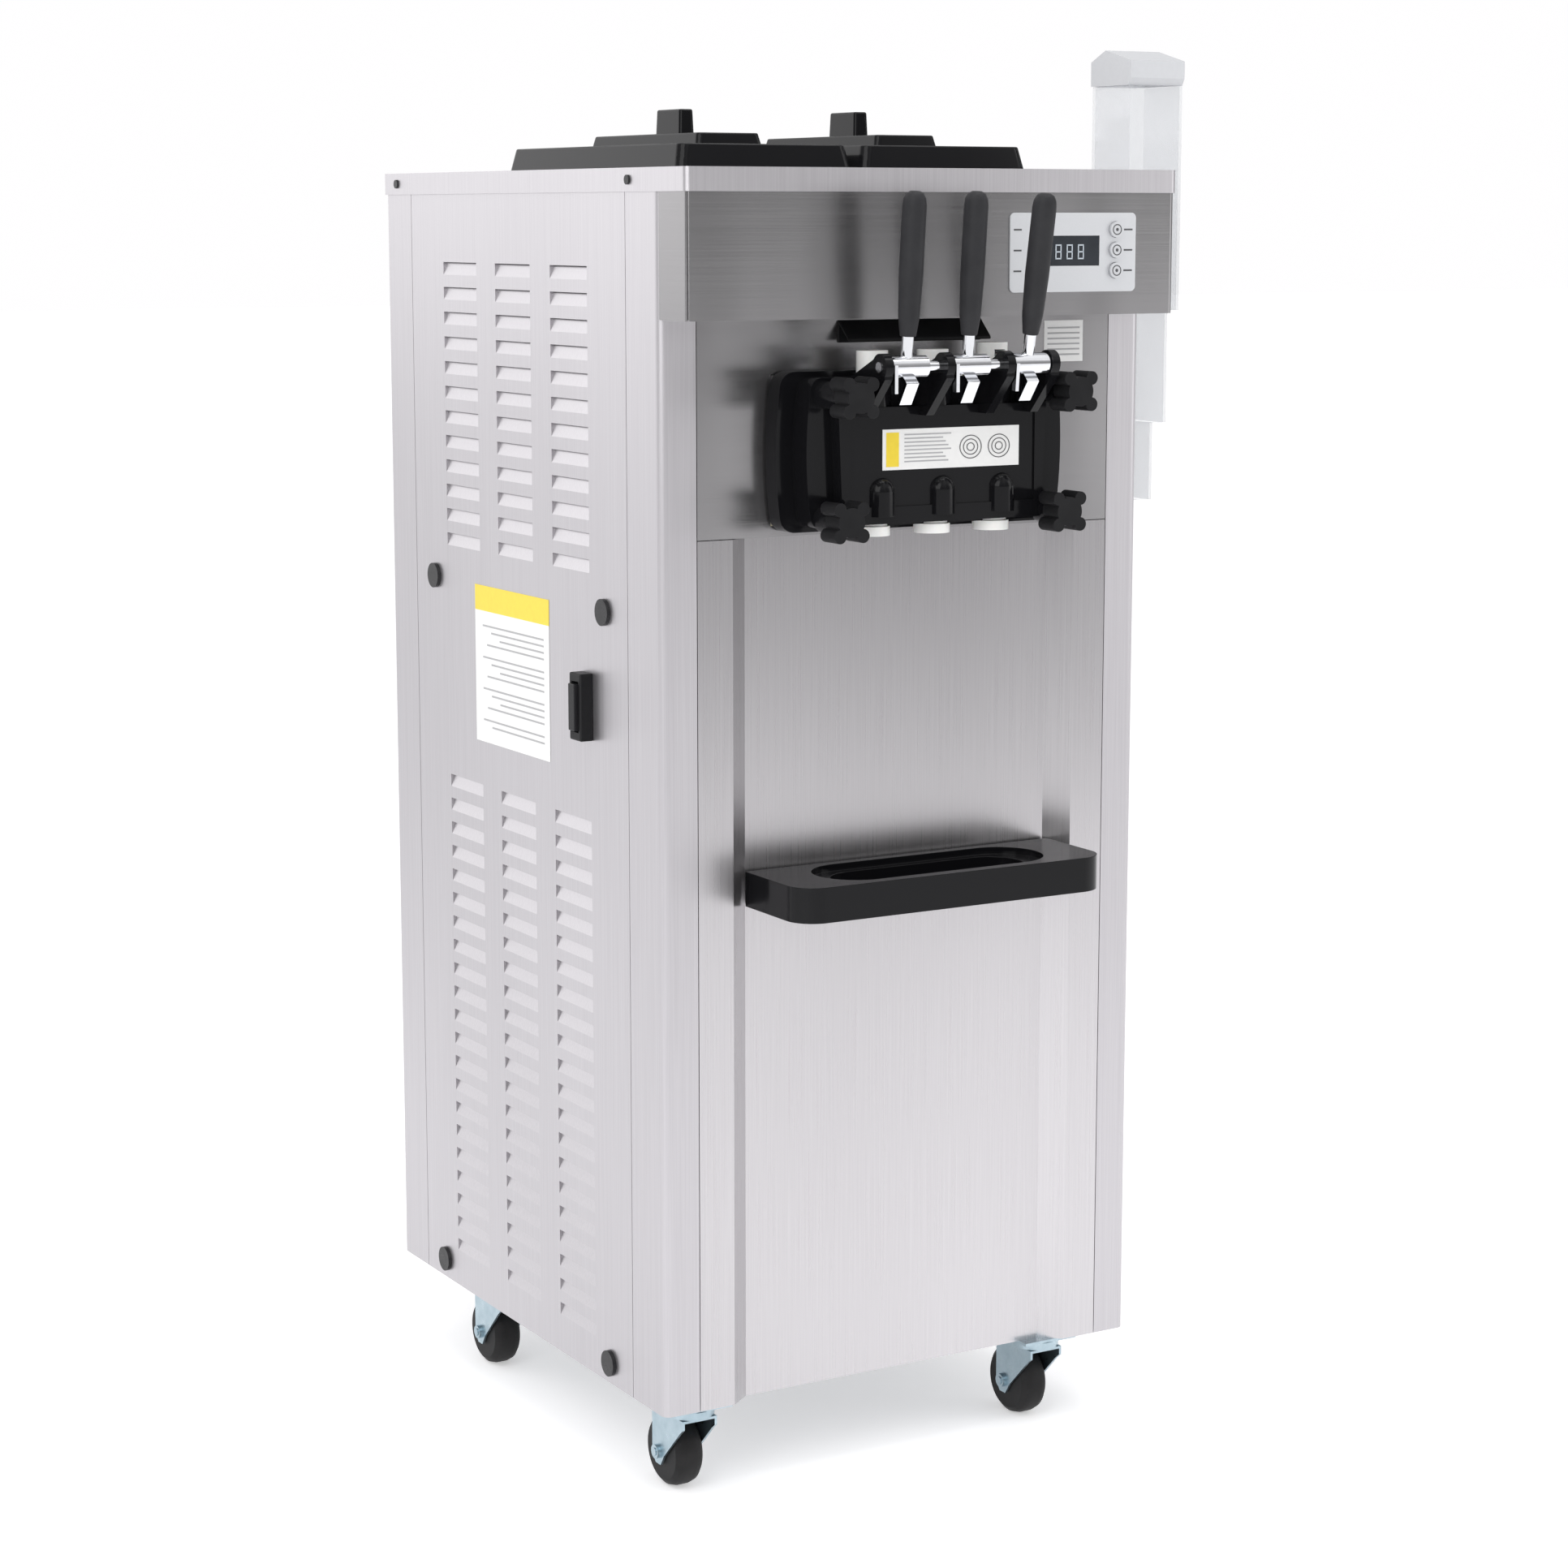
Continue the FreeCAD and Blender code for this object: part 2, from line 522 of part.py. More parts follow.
for name, across, along in CASTORS:
    legs = [place(padded(f"{name}_{side_name}_leg", leg_points, "fork_skin", "YZ_Plane"),
                  f"{side} * ({LEG} + fork_skin / 2) - fork_skin / 2")
            for side_name, side in SIDES]
    crown = span(name + "_crown", (f"-{LEG} - fork_skin", f"{LEG} + fork_skin"),
                 ("-20", "castor_trail + 12"), (f"{CROWN} - fork_skin", CROWN))
    axle = rod(name + "_axle", f"-{LEG} - fork_skin - 5", "castor_trail", "wheel_radius",
               "axle_radius", f"2 * ({LEG} + fork_skin + 5)", "X")
    nuts = [rod(f"{name}_{side_name}_nut", start, "castor_trail", "wheel_radius", "7", "4", "X")
            for side_name, start in (("left", f"-{LEG} - fork_skin - 4"),
                                     ("right", f"{LEG} + fork_skin"))]
    fork = remove(name + "_fork", join(name + "_fork_metal", crown, axle, *legs, *nuts),
                  rod(name + "_king_bore", "0", "0", f"{CROWN} - fork_skin - 1",
                      "kingpin + running", "fork_skin + 2"))
    keep(place(fork, across, along), "castor_fork_" + name)
    wheel = turned(name + "_wheel", wheel_points)
    keep(place(wheel, across, f"{along} + castor_trail", "wheel_radius",
               Rotation(Vector(0, 1, 0), 90)), "castor_wheel_" + name)

# ---------------------------------------------------------------- case screws
screws = []
for side_name, side in SIDES:
    face = f"{side} * {HALF}"
    for end, along in (("front", "post_side + seam + screw_inset"),
                       ("rear", f"{REAR} - post_side - seam - screw_inset")):
        for level, high in SCREW_LEVELS:
            stem = f"{side_name}_{end}_{level}"
            start = f"-{HALF} - screw_head_height" if side < 0 else HALF
            inward = f"-{HALF}" if side < 0 else f"{HALF} - screw_length"
            screws.append(join(stem, rod(stem + "_head", start, along, high,
                                         "screw_head", "screw_head_height", "X"),
                               rod(stem + "_shank", inward, along, high,
                                   "screw_shank", "screw_length", "X")))
    for end in ("front", "rear"):
        start = f"-{OUTER} - 2" if side < 0 else OUTER
        screws.append(rod(f"{side_name}_{end}_cap_screw", start, "cap_screw_" + end,
                          head_level("cap_screw_height"), "cap_screw", "2", "X"))
keep(gather("screws", *screws), "case_screws")

# ---------------------------------------------------------------- hoppers, feed tubes and lids
HOPPER_FOOT = f"({TOP} - hopper_drop)"
RIM_TOP = f"({TOP} + hopper_skin)"
tubs, tubes = [], []
for name, side in SIDES:
    pipe_x = f"{side} * cylinder_pitch / 2"
    shell = tub(name + "_shell", side, "0", HOPPER_FOOT, RIM_TOP)
    rim = tub(name + "_rim", side, "hopper_rim", TOP, RIM_TOP, False)
    pipe = rod(name + "_pipe", pipe_x, "outlet_setback", head_level("outlet_foot"),
               "outlet_radius", f"{HOPPER_FOOT} - {head_level('outlet_foot')} + 0.5")
    inside = tub(name + "_inside", side, "-hopper_skin", f"{HOPPER_FOOT} + hopper_skin",
                 f"{RIM_TOP} + 1")
    bore = rod(name + "_pipe_bore", pipe_x, "outlet_setback", head_level("outlet_foot - 1"),
               "outlet_bore", f"{HOPPER_FOOT} - {head_level('outlet_foot')} + 6")
    tubs.append(remove(name + "_tub", join(name + "_tub_metal", shell, rim, pipe),
                       inside, bore))
    outer_tube = rod(name + "_tube", pipe_x, "outlet_setback", head_level("outlet_foot"),
                     "outlet_bore - running", "feed_tube_length")
    inner_tube = rod(name + "_tube_bore", pipe_x, "outlet_setback", head_level("outlet_foot - 1"),
                     "feed_tube_bore", "feed_tube_length - 5")
    air_hole = rod(name + "_tube_hole", pipe_x, "outlet_setback - 20",
                   f"{HOPPER_FOOT} + 12", "2.5", "40", "Y")
    tubes.append(remove(name + "_feed", outer_tube, inner_tube, air_hole))
keep(gather("tubs", *tubs), "hoppers")
keep(gather("tubes", *tubes), "feed_tubes")


def frustum(name, width, length, height, slope, rounding):
    """A block whose four sides lean in, drawn about the middle of its base."""
    half, reach = f"({width}) / 2", f"({length}) / 2"
    body = padded(name, [(f"-{half}", f"-{reach}"), (half, f"-{reach}"), (half, reach),
                         (f"-{half}", reach)], height,
                  TaperAngle=-math.degrees(math.atan2(value(slope), value(height))))
    doc.recompute()
    pad = body.Tip
    edges = [f"Edge{number}" for number, edge in enumerate(pad.Shape.Edges, start=1)
             if edge.BoundBox.ZLength > value(height) - 0.01]
    corners = body.newObject("PartDesign::Fillet", name + "_corners")
    corners.Base = (pad, edges)
    corners.Radius = rounding
    doc.recompute()
    edges = [f"Edge{number}" for number, edge in enumerate(corners.Shape.Edges, start=1)
             if edge.BoundBox.ZMin > value(height) - 0.01]
    brow = body.newObject("PartDesign::Fillet", name + "_brow")
    brow.Base = (corners, edges)
    brow.Radius = 2
    return body


for name, side in SIDES:
    stem = "lid_" + name
    shell = frustum(stem + "_shell", "lid_width", "lid_length", "lid_height", "lid_slope", 10)
    plateau = place(frustum(stem + "_plateau", "plateau_width", "plateau_length",
                            "plateau_height + 1", "3", 6), z="lid_height - 1")
    grip = place(frustum(stem + "_grip", "lid_knob_width", "lid_knob_length",
                         "lid_knob_height + 1", "1", 4), z="lid_height + plateau_height - 1")
    half, reach = "(lid_width / 2 - lid_slope - 2.5)", "(lid_length / 2 - lid_slope - 2.5)"
    hollow = span(stem + "_hollow", (f"-{half}", half), (f"-{reach}", reach),
                  ("-1", "lid_height - lid_skin"))
    lid = remove(stem + "_cut", join(stem + "_solid", shell, plateau, grip), hollow)
    keep(place(lid, f"{side} * hopper_pitch / 2", "hopper_middle", TOP), stem)

# ---------------------------------------------------------------- freezing cylinders and drive
AXIS_Z = head_level("cylinder_height")
SHELL = "(cylinder_bore + cylinder_wall)"
SOCKET = "(outlet_radius + running + socket_wall)"
SOCKET_FOOT = f"({AXIS_Z} + cylinder_bore - socket_sink)"
BLADE_REACH = "(cylinder_bore - scraper_gap)"
head = span("head_block", ("-head_width / 2", "head_width / 2"), ("-head_proud", "head_depth"),
            (head_level("head_low"), head_level("head_high")))
metal, air, foam_air = [head], [], []
for name, side in SIDES:
    axis_x = f"{side} * cylinder_pitch / 2"
    metal.append(rod(name + "_barrel", axis_x, "head_depth - 1", AXIS_Z, SHELL,
                     "cylinder_length - head_depth + 1", "Y"))
    metal.append(rod(name + "_socket", axis_x, "outlet_setback", SOCKET_FOOT, SOCKET,
                     f"{head_level('outlet_foot + socket_reach')} - {SOCKET_FOOT}"))
    air.append(rod(name + "_bore", axis_x, "-head_proud - 1", AXIS_Z, "cylinder_bore",
                   "cylinder_length + head_proud - 5", "Y"))
    air.append(rod(name + "_rear_bore", axis_x, "cylinder_length - 10", AXIS_Z,
                   "beater_shaft + running", "20", "Y"))
    air.append(rod(name + "_inlet", axis_x, "outlet_setback", AXIS_Z, "outlet_bore", "70"))
    air.append(rod(name + "_seat", axis_x, "outlet_setback", head_level("outlet_foot"),
                   "outlet_radius + running", "30"))
    foam_air.append(rod(name + "_foam_bore", axis_x, "head_depth - 1", AXIS_Z, f"{SHELL} + free_gap",
                        "cylinder_length", "Y"))
    foam_air.append(rod(name + "_foam_hole", axis_x, "outlet_setback", AXIS_Z,
                        f"{SOCKET} + free_gap", "120"))
keep(remove("barrels_cut", join("barrels", *metal), *air), "freezing_cylinders")
foam = span("foam_block", ("-foam_width / 2", "foam_width / 2"),
            ("head_depth", "cylinder_length"), (SHELF, head_level("foam_high")))
keep(remove("foam_cut", foam, *foam_air), "cylinder_insulation")

motors = []
for name, side in SIDES:
    axis_x = f"{side} * cylinder_pitch / 2"
    shaft = rod(name + "_beater_shaft", "0", "6", "0", "beater_shaft",
                "cylinder_length + 14", "Y")
    blades = []
    for number in range(4):
        blade = span(f"{name}_blade_{number}", ("-blade_width / 2", "blade_width / 2"),
                     ("10", "cylinder_length - 14"),
                     (f"{BLADE_REACH} - blade_depth", BLADE_REACH))
        spokes = [span(f"{name}_spoke_{number}_{end}", ("-2.5", "2.5"),
                       (start, f"{start} + 6"), ("0", f"{BLADE_REACH} - 1"))
                  for end, start in (("front", "14"), ("middle", "140"),
                                     ("rear", "cylinder_length - 28"))]
        arm = join(f"{name}_vane_{number}", blade, *spokes)
        arm.Placement = Placement(Vector(), Rotation(Vector(0, 1, 0), 90 * number))
        blades.append(arm)
    keep(place(join(name + "_beater", shaft, *blades), axis_x, "0", AXIS_Z), "beater_" + name)
    half = "gearbox_side / 2"
    box = span(name + "_gearbox", (f"{axis_x} - {half}", f"{axis_x} + {half}"),
               ("cylinder_length", "cylinder_length + gearbox_length"),
               (f"{AXIS_Z} - {half}", f"{AXIS_Z} + {half}"))
    motor = rod(name + "_motor", axis_x, "cylinder_length + gearbox_length - 1", AXIS_Z,
                "motor_radius", "motor_length + 1", "Y")
    foot = span(name + "_motor_foot", (f"{axis_x} - 30", f"{axis_x} + 30"),
                ("cylinder_length + 10", "cylinder_length + 60"), (SHELF, f"{AXIS_Z} - 49"))
    hole = rod(name + "_gear_bore", axis_x, "cylinder_length - 1", AXIS_Z,
               "beater_shaft + running", "30", "Y")
    motors.append(remove(name + "_drive", join(name + "_drive_metal", box, motor, foot), hole))
keep(gather("drives", *motors), "gear_motors")

# ---------------------------------------------------------------- dispensing door
BACK = "(head_proud + door_gap)"
FLANGE = f"({BACK} + flange_depth)"
BLOCK = f"({FLANGE} + block_depth)"
FRAME = f"({BLOCK} + frame_depth)"
VALVE_Y = "(arm_length - pivot_reach)"
LEVERS = (("left", "-lever_pitch"), ("middle", "0"), ("right", "lever_pitch"))


def bowed_plate(name, half, low, high, bow, front, back, rounding):
    """A plate in the x-z plane whose two upright sides bulge outwards."""
    middle = (low + high) / 2
    corner = half - bow
    edges = [Part.makeLine(Vector(-corner, front, low), Vector(corner, front, low)),
             Part.Arc(Vector(corner, front, low), Vector(half, front, middle),
                      Vector(corner, front, high)).toShape(),
             Part.makeLine(Vector(corner, front, high), Vector(-corner, front, high)),
             Part.Arc(Vector(-corner, front, high), Vector(-half, front, middle),
                      Vector(-corner, front, low)).toShape()]
    solid = Part.Face(Part.Wire(edges)).extrude(Vector(0, back - front, 0))
    corners = [edge for edge in solid.Edges
               if edge.BoundBox.YLength > back - front - 0.01 and edge.BoundBox.XLength < 0.01]
    return coded(name, solid.makeFillet(rounding, corners))


flange = bowed_plate("door_flange", value("door_width / 2"), value(head_level("door_low")),
                     value(head_level("door_high")), value("door_bow"), -value(FLANGE),
                     -value(BACK), value("door_round"))
door_block = bowed_plate("door_block", value("block_width / 2"), value(head_level("block_low")),
                         value(head_level("block_high")), value("door_bow"), -value(BLOCK),
                         -value(FLANGE), value("door_round - 4"))
frame_points = [("-frame_base_width / 2", head_level("frame_low")),
                ("frame_base_width / 2", head_level("frame_low")),
                ("frame_top_width / 2", head_level("frame_high")),
                ("-frame_top_width / 2", head_level("frame_high"))]
frame = place(padded("door_frame", frame_points, "frame_depth", "XZ_Plane"), y=f"-{BLOCK}")
recess = span("door_recess", ("-frame_base_width / 2 + frame_rim",
                              "frame_base_width / 2 - frame_rim"),
              (f"-{FRAME} - 1", f"-{FRAME} + frame_recess"),
              (head_level("frame_low + frame_sill"), head_level("frame_high - frame_rim")))
solids = [flange, door_block, remove("door_face", frame, recess)]
holes = []
ear_points = [(f"-{BLOCK} + 1", head_level("block_high - 1")),
              (f"-{BLOCK} + 1", head_level("block_high - 36")), ("-76", head_level("958")),
              ("-pivot_reach - 10", head_level("pivot_height - 11")),
              ("-pivot_reach - 4", head_level("pivot_height + 10")),
              ("-pivot_reach + 8", head_level("pivot_height + 8"))]
ears = [f"{across} - hub_length / 2 - ear_width - 0.5" for name, across in LEVERS]
ears.append("lever_pitch + hub_length / 2 + 1")
for number, start in enumerate(ears):
    web = place(padded(f"ear_{number}_web", ear_points, "ear_width", "YZ_Plane"), start)
    eye = rod(f"ear_{number}_eye", start, "-pivot_reach", head_level("pivot_height"),
              "ear_radius", "ear_width", "X")
    solids += [web, eye]
holes.append(rod("shaft_hole", "-door_width / 2", "-pivot_reach", head_level("pivot_height"),
                 "shaft_radius + running", "door_width", "X"))
for name, across in LEVERS:
    solids.append(rod(name + "_tower", across, VALVE_Y, head_level("frame_high - 10"),
                      "valve_radius + tower_wall", "tower_top - frame_high + 10"))
    arch = rod(name + "_arch", across, "arch_radius - arch_front", head_level("arch_low"),
               "arch_radius", "arch_high - arch_low")
    dome = doc.addObject("Part::Sphere", name + "_dome")
    bind(dome, across, "arch_radius - arch_front", head_level("arch_high"), Radius="arch_radius")
    solids += [arch, dome]
    holes.append(rod(name + "_valve_bore", across, VALVE_Y, head_level("block_low - 1"),
                     "valve_radius + running", "tower_top - block_low + 2"))
    holes.append(rod(name + "_port", across, f"{VALVE_Y} + 5", head_level("port_height"),
                     "port_radius", f"-({VALVE_Y}) - 5", "Y"))
holes.append(span("middle_channel", ("-cylinder_pitch / 2 + cylinder_bore / 2",
                                     "cylinder_pitch / 2 - cylinder_bore / 2"),
                  (f"-{BACK} - 6", "0"),
                  (head_level("port_height - port_radius"),
                   head_level("port_height + port_radius"))))
STUDS = [(f"{side_name}_{level}", f"{side} * stud_spread / 2", "stud_" + level, level + "_boss")
         for side_name, side in SIDES for level in ("low", "high")]
for name, across, high, boss in STUDS:
    solids.append(rod(name + "_boss", across, f"-{BLOCK} - {boss}", head_level(high),
                      "boss_radius", f"{boss} + 1", "Y"))
    holes.append(rod(name + "_stud_hole", across, f"-{BLOCK} - {boss} - 1", head_level(high),
                     "stud_radius + running", f"{BLOCK} + {boss}", "Y"))
keep(remove("door_cut", join("door_solid", *solids), *holes), "dispensing_door")

keep(gather("gaskets", *[
    remove(name + "_gasket",
           rod(name + "_gasket_outer", f"{side} * cylinder_pitch / 2", f"-{BACK}", AXIS_Z,
               f"{SHELL} + 2", "door_gap", "Y"),
           rod(name + "_gasket_inner", f"{side} * cylinder_pitch / 2", f"-{BACK} - 1", AXIS_Z,
               "cylinder_bore + 1", "door_gap + 2", "Y"))
    for name, side in SIDES]), "door_gaskets")

studs = [rod(name + "_stud", across, f"-{BLOCK} - {boss} - knob_depth + 6", head_level(high),
             "stud_radius", f"{BLOCK} + {boss} + knob_depth - 6 - head_proud", "Y")
         for name, across, high, boss in STUDS]
studs.append(rod("lever_shaft", ears[0] + " - 1", "-pivot_reach", head_level("pivot_height"),
                 "shaft_radius", "2 * lever_pitch + hub_length + 2 * ear_width + 3.5", "X"))
keep(gather("pins", *studs), "door_pins")

for name, across, high, boss in STUDS:
    stem = name + "_knob"
    pieces = [rod(stem + "_core", "0", "-knob_depth", "0", "knob_core", "knob_depth", "Y")]
    for number in range(4):
        angle = math.radians(45 + 90 * number)
        lobe = rod(f"{stem}_lobe_{number}", f"knob_lobe_offset * {math.cos(angle):.6f}",
                   "-knob_depth", f"knob_lobe_offset * {math.sin(angle):.6f}",
                   "knob_lobe", "knob_depth", "Y")
        pieces.append(lobe)
    bore = rod(stem + "_bore", "0", "-knob_depth + 5", "0", "stud_radius + running",
               "knob_depth", "Y")
    knob = remove(stem + "_cut", join(stem + "_solid", *pieces), bore)
    keep(place(knob, across, f"-{BLOCK} - {boss} - free_gap", head_level(high)),
         "star_knob_" + name)


def nozzle_grooves(name, across):
    """Three slots crossed at 60 degrees, which give the outlet its star shape."""
    grooves = []
    for number in range(3):
        slot = span(f"{name}_groove_{number}", ("-nozzle_bore", "nozzle_bore"), ("-1.5", "1.5"),
                    ("-1", "40"))
        held = gather(f"{name}_groove_{number}_set", slot)
        place(held, across, VALVE_Y, head_level("block_low - nozzle_height"),
              Rotation(Vector(0, 0, 1), 60 * number))
        grooves.append(held)
    return grooves


keep(gather("nozzle_set", *[
    remove(name + "_nozzle",
           join(name + "_nozzle_metal",
                rod(name + "_nozzle_rim", across, VALVE_Y,
                    head_level("block_low - nozzle_height"), "nozzle_radius", "nozzle_height"),
                rod(name + "_nozzle_spigot", across, VALVE_Y, head_level("block_low"),
                    "valve_radius", "valve_foot - block_low - 2")),
           rod(name + "_nozzle_core", across, VALVE_Y,
               head_level("block_low - nozzle_height - 1"), "nozzle_bore - 2", "40"),
           *nozzle_grooves(name, across))
    for name, across in LEVERS]), "nozzles")

# ---------------------------------------------------------------- levers and valve pistons
PIVOT_Z = head_level("pivot_height")
finger_points = [("-4", "-8"), ("-12", "-15"), ("1", "-35"), ("5", "-33"), ("-7", "-15"),
                 ("3", "-8")]
for name, across in LEVERS:
    pull = value("right_pull") if name == "right" else 0
    lift = f"arm_length * {math.sin(math.radians(pull)):.6f}"
    foot = head_level(f"valve_foot + {lift}")
    tip = head_level(f"pivot_height + {lift}")
    piston = rod(name + "_piston", across, VALVE_Y, foot, "valve_radius",
                 "valve_top - valve_foot")
    pocket = span(name + "_pocket", (f"{across} - arm_width / 2 - 1",
                                     f"{across} + arm_width / 2 + 1"),
                  (f"{VALVE_Y} - valve_radius - 1", f"{VALVE_Y} + 7"),
                  (f"{tip} - 9.5", f"{tip} + 6.5"))
    keep(remove(name + "_piston_cut", piston, pocket), "valve_piston_" + name)

    stem = name + "_lever"
    hub = rod(stem + "_hub", "-hub_length / 2", "0", "0", "hub_radius", "hub_length", "X")
    arm = span(stem + "_arm", ("-arm_width / 2", "arm_width / 2"), ("7", "arm_length"),
               ("-arm_height / 2", "arm_height / 2"))
    disc = rod(stem + "_disc", "-arm_width / 2", "arm_length", "0", "5", "arm_width", "X")
    finger = place(padded(stem + "_finger", finger_points, "13", "YZ_Plane"), "-6.5")
    catch = span(stem + "_catch", ("-hub_length / 2 + 0.5", "-hub_length / 2 + 4"),
                 ("-12", "-6"), ("-24", "2"))
    rise = rod(stem + "_stem", "0", "0", "0", "stem_radius", "stem_length + 16")
    rise.Placement = Placement(Vector(), Rotation(Vector(1, 0, 0), value("lever_lean")))
    bore = rod(stem + "_bore", "-hub_length", "0", "0", "shaft_radius + running",
               "2 * hub_length", "X")
    yoke = remove(stem + "_yoke", join(stem + "_metal", hub, arm, disc, finger, catch, rise),
                  bore)
    keep(place(yoke, across, "-pivot_reach", PIVOT_Z, Rotation(Vector(1, 0, 0), pull)),
         "lever_yoke_" + name)

    grip_points = [("stem_radius + running", "0"), ("grip_foot", "0"),
                   ("grip_radius * 0.88", "grip_length * 0.14"),
                   ("grip_radius", "grip_length * 0.42"), ("grip_radius", "grip_length * 0.9"),
                   ("grip_radius * 0.93", "grip_length * 0.95"),
                   ("grip_radius * 0.72", "grip_length * 0.985"),
                   ("grip_radius * 0.4", "grip_length"), ("0", "grip_length"), ("0", "17"),
                   ("stem_radius + running", "17")]
    lean = pull + value("lever_lean")
    reach = value("stem_length")
    grip = turned(name + "_grip", grip_points)
    grip.Placement = Placement(
        Vector(value(across), value("-pivot_reach") - reach * math.sin(math.radians(lean)),
               value(PIVOT_Z) + reach * math.cos(math.radians(lean))),
        Rotation(Vector(1, 0, 0), lean))
    keep(grip, "lever_grip_" + name)

slot_points = [("0", head_level("slot_low")), ("-2", head_level("slot_low")),
               ("-2", head_level("slot_high - 4")), ("-slot_reach", head_level("slot_low + 1")),
               ("-slot_reach", head_level("slot_low + 4")), ("-2", head_level("slot_high")),
               ("0", head_level("slot_high"))]
keep(place(padded("slot_lip", slot_points, "slot_width", "YZ_Plane"), "-slot_width / 2"),
     "slot_trim")

# ---------------------------------------------------------------- control panel
FACE = "(hood_reach + panel_skin)"
plate_block = span("panel_block", ("panel_left", "panel_left + panel_width"),
                   (f"-{FACE}", "-hood_reach"),
                   (head_level("panel_low"), head_level("panel_low + panel_height")))
panel_plate = rounded("panel_rounded", plate_block, value("panel_round"),
                      lambda edge: edge.BoundBox.YLength > 1 and edge.BoundBox.XLength < 0.01
                      and edge.BoundBox.ZLength < 0.01)
BUTTONS = [(name, head_level(f"button_top - {number} * button_pitch"))
           for number, name in enumerate(("top", "middle", "bottom"))]
cuts = [span("window_hole", ("window_left - free_gap", "window_left + window_width + free_gap"),
             (f"-{FACE} - 1", "-hood_reach + 1"),
             (head_level("window_low - free_gap"), head_level("window_low + window_height + free_gap")))]
cuts += [rod(f"{name}_button_hole", "button_across", f"-{FACE} - 1", high,
             "button_radius + free_gap", "4", "Y") for name, high in BUTTONS]
keep(remove("panel_cut", panel_plate, *cuts), "control_plate")

BOARD = "(hood_reach - board_setback)"
glass = span("window", ("window_left", "window_left + window_width"),
             (f"-{FACE} + 0.3", f"-{BOARD}"),
             (head_level("window_low"), head_level("window_low + window_height")))
board = span("board", ("window_left - 4", "button_across + button_radius + 3"),
             (f"-{BOARD}", f"-{BOARD} + 1.6"),
             (head_level("panel_low + 11"), head_level("panel_low + panel_height - 8")))
stands = [rod(f"stand_{number}", across, "-hood_reach", head_level(high), "2.5",
              "board_setback", "Y")
          for number, (across, high) in enumerate((
              ("window_left", "panel_low + 16"), ("window_left", "panel_low + panel_height - 14"),
              ("button_across - 13", "panel_low + 16"),
              ("button_across - 13", "panel_low + panel_height - 14")))]
keep(join("display", glass, board, *stands), "display_board")
for name, high in BUTTONS:
    keep(rod(name + "_button", "button_across", f"-{FACE} - button_proud", high,
             "button_radius", "button_length", "Y"), "button_" + name)

# ---------------------------------------------------------------- power switch
SWITCH_Z = head_level("switch_low + switch_height / 2")
housing = rounded("switch_block", span(
    "switch_box", (f"-{HALF} - switch_proud", f"-{HALF}"),
    ("switch_middle - switch_width / 2", "switch_middle + switch_width / 2"),
    (head_level("switch_low"), head_level("switch_low + switch_height"))), 2,
    lambda edge: edge.CenterOfMass.x < value(f"-{HALF} - 1"))
pocket = span("switch_pocket", (f"-{HALF} - switch_proud - 1",
                                f"-{HALF} - switch_proud + pocket_depth"),
              ("switch_middle - rocker_width / 2 - 0.5", "switch_middle + rocker_width / 2 + 0.5"),
              (f"{SWITCH_Z} - rocker_height / 2 - 1.5", f"{SWITCH_Z} + rocker_height / 2 + 1.5"))
keep(remove("switch_cut", housing, pocket), "switch_housing")
keep(span("rocker", (f"-{HALF} - switch_proud - rocker_proud",
                     f"-{HALF} - switch_proud - rocker_proud + rocker_depth"),
          ("switch_middle - rocker_width / 2", "switch_middle + rocker_width / 2"),
          (f"{SWITCH_Z} - rocker_height / 2", f"{SWITCH_Z} + rocker_height / 2")),
     "switch_rocker")

# ---------------------------------------------------------------- drip tray
TRAY_TOP = head_level("tray_top")
tray_body = rounded("tray_body", span(
    "tray_block", ("-tray_width / 2", "tray_width / 2"), ("-tray_reach", "tray_back"),
    (f"{TRAY_TOP} - tray_height", TRAY_TOP)), value("tray_round"),
    lambda edge: upright(edge) and edge.CenterOfMass.y < value("-tray_reach + 1"))
hooks = mirrored("tray_hook", ("60", "84"), ("tray_back - 1", "recess_depth - free_gap"),
                 (f"{TRAY_TOP} - 26", f"{TRAY_TOP} - 10"))


def basin(name, length, width, depth):
    """A round-ended pocket sunk from the tray's top face."""
    box = span(name + "_block", (f"-({length}) / 2", f"({length}) / 2"),
               (f"-basin_middle - ({width}) / 2", f"-basin_middle + ({width}) / 2"),
               (f"{TRAY_TOP} - ({depth})", f"{TRAY_TOP} + 5"))
    return rounded(name, box, value(width) / 2 - 0.01, upright)


keep(remove("tray_cut", join("tray_solid", tray_body, *hooks),
            basin("ledge", "basin_length", "basin_width", "7"),
            basin("well", "basin_length - 2 * basin_step - 22", "basin_width - 2 * basin_step",
                  "basin_depth")), "drip_tray")

# ---------------------------------------------------------------- refrigeration
PAN = "(ground_gap + plate)"
casing = rod("compressor_can", "compressor_across", "compressor_along", f"{PAN} + 12",
             "compressor_radius", "compressor_height")
can = rounded("compressor_domed", casing, 26, lambda edge: edge.BoundBox.XLength > 20)
cradle = span("compressor_cradle", ("compressor_across - 95", "compressor_across + 95"),
              ("compressor_along - 60", "compressor_along + 60"), (f"{PAN} + 8", f"{PAN} + 13"))
feet = [rod(f"compressor_foot_{number}", f"compressor_across + {across}",
            f"compressor_along + {along}", PAN, "12", "9")
        for number, (across, along) in enumerate(((-80, -45), (80, -45), (-80, 45), (80, 45)))]
terminal = span("terminal_box", ("compressor_across - 25", "compressor_across + 25"),
                ("compressor_along + compressor_radius - 8",
                 "compressor_along + compressor_radius + 22"), (f"{PAN} + 60", f"{PAN} + 120"))
keep(join("compressor_set", can, cradle, terminal, *feet), "compressor")

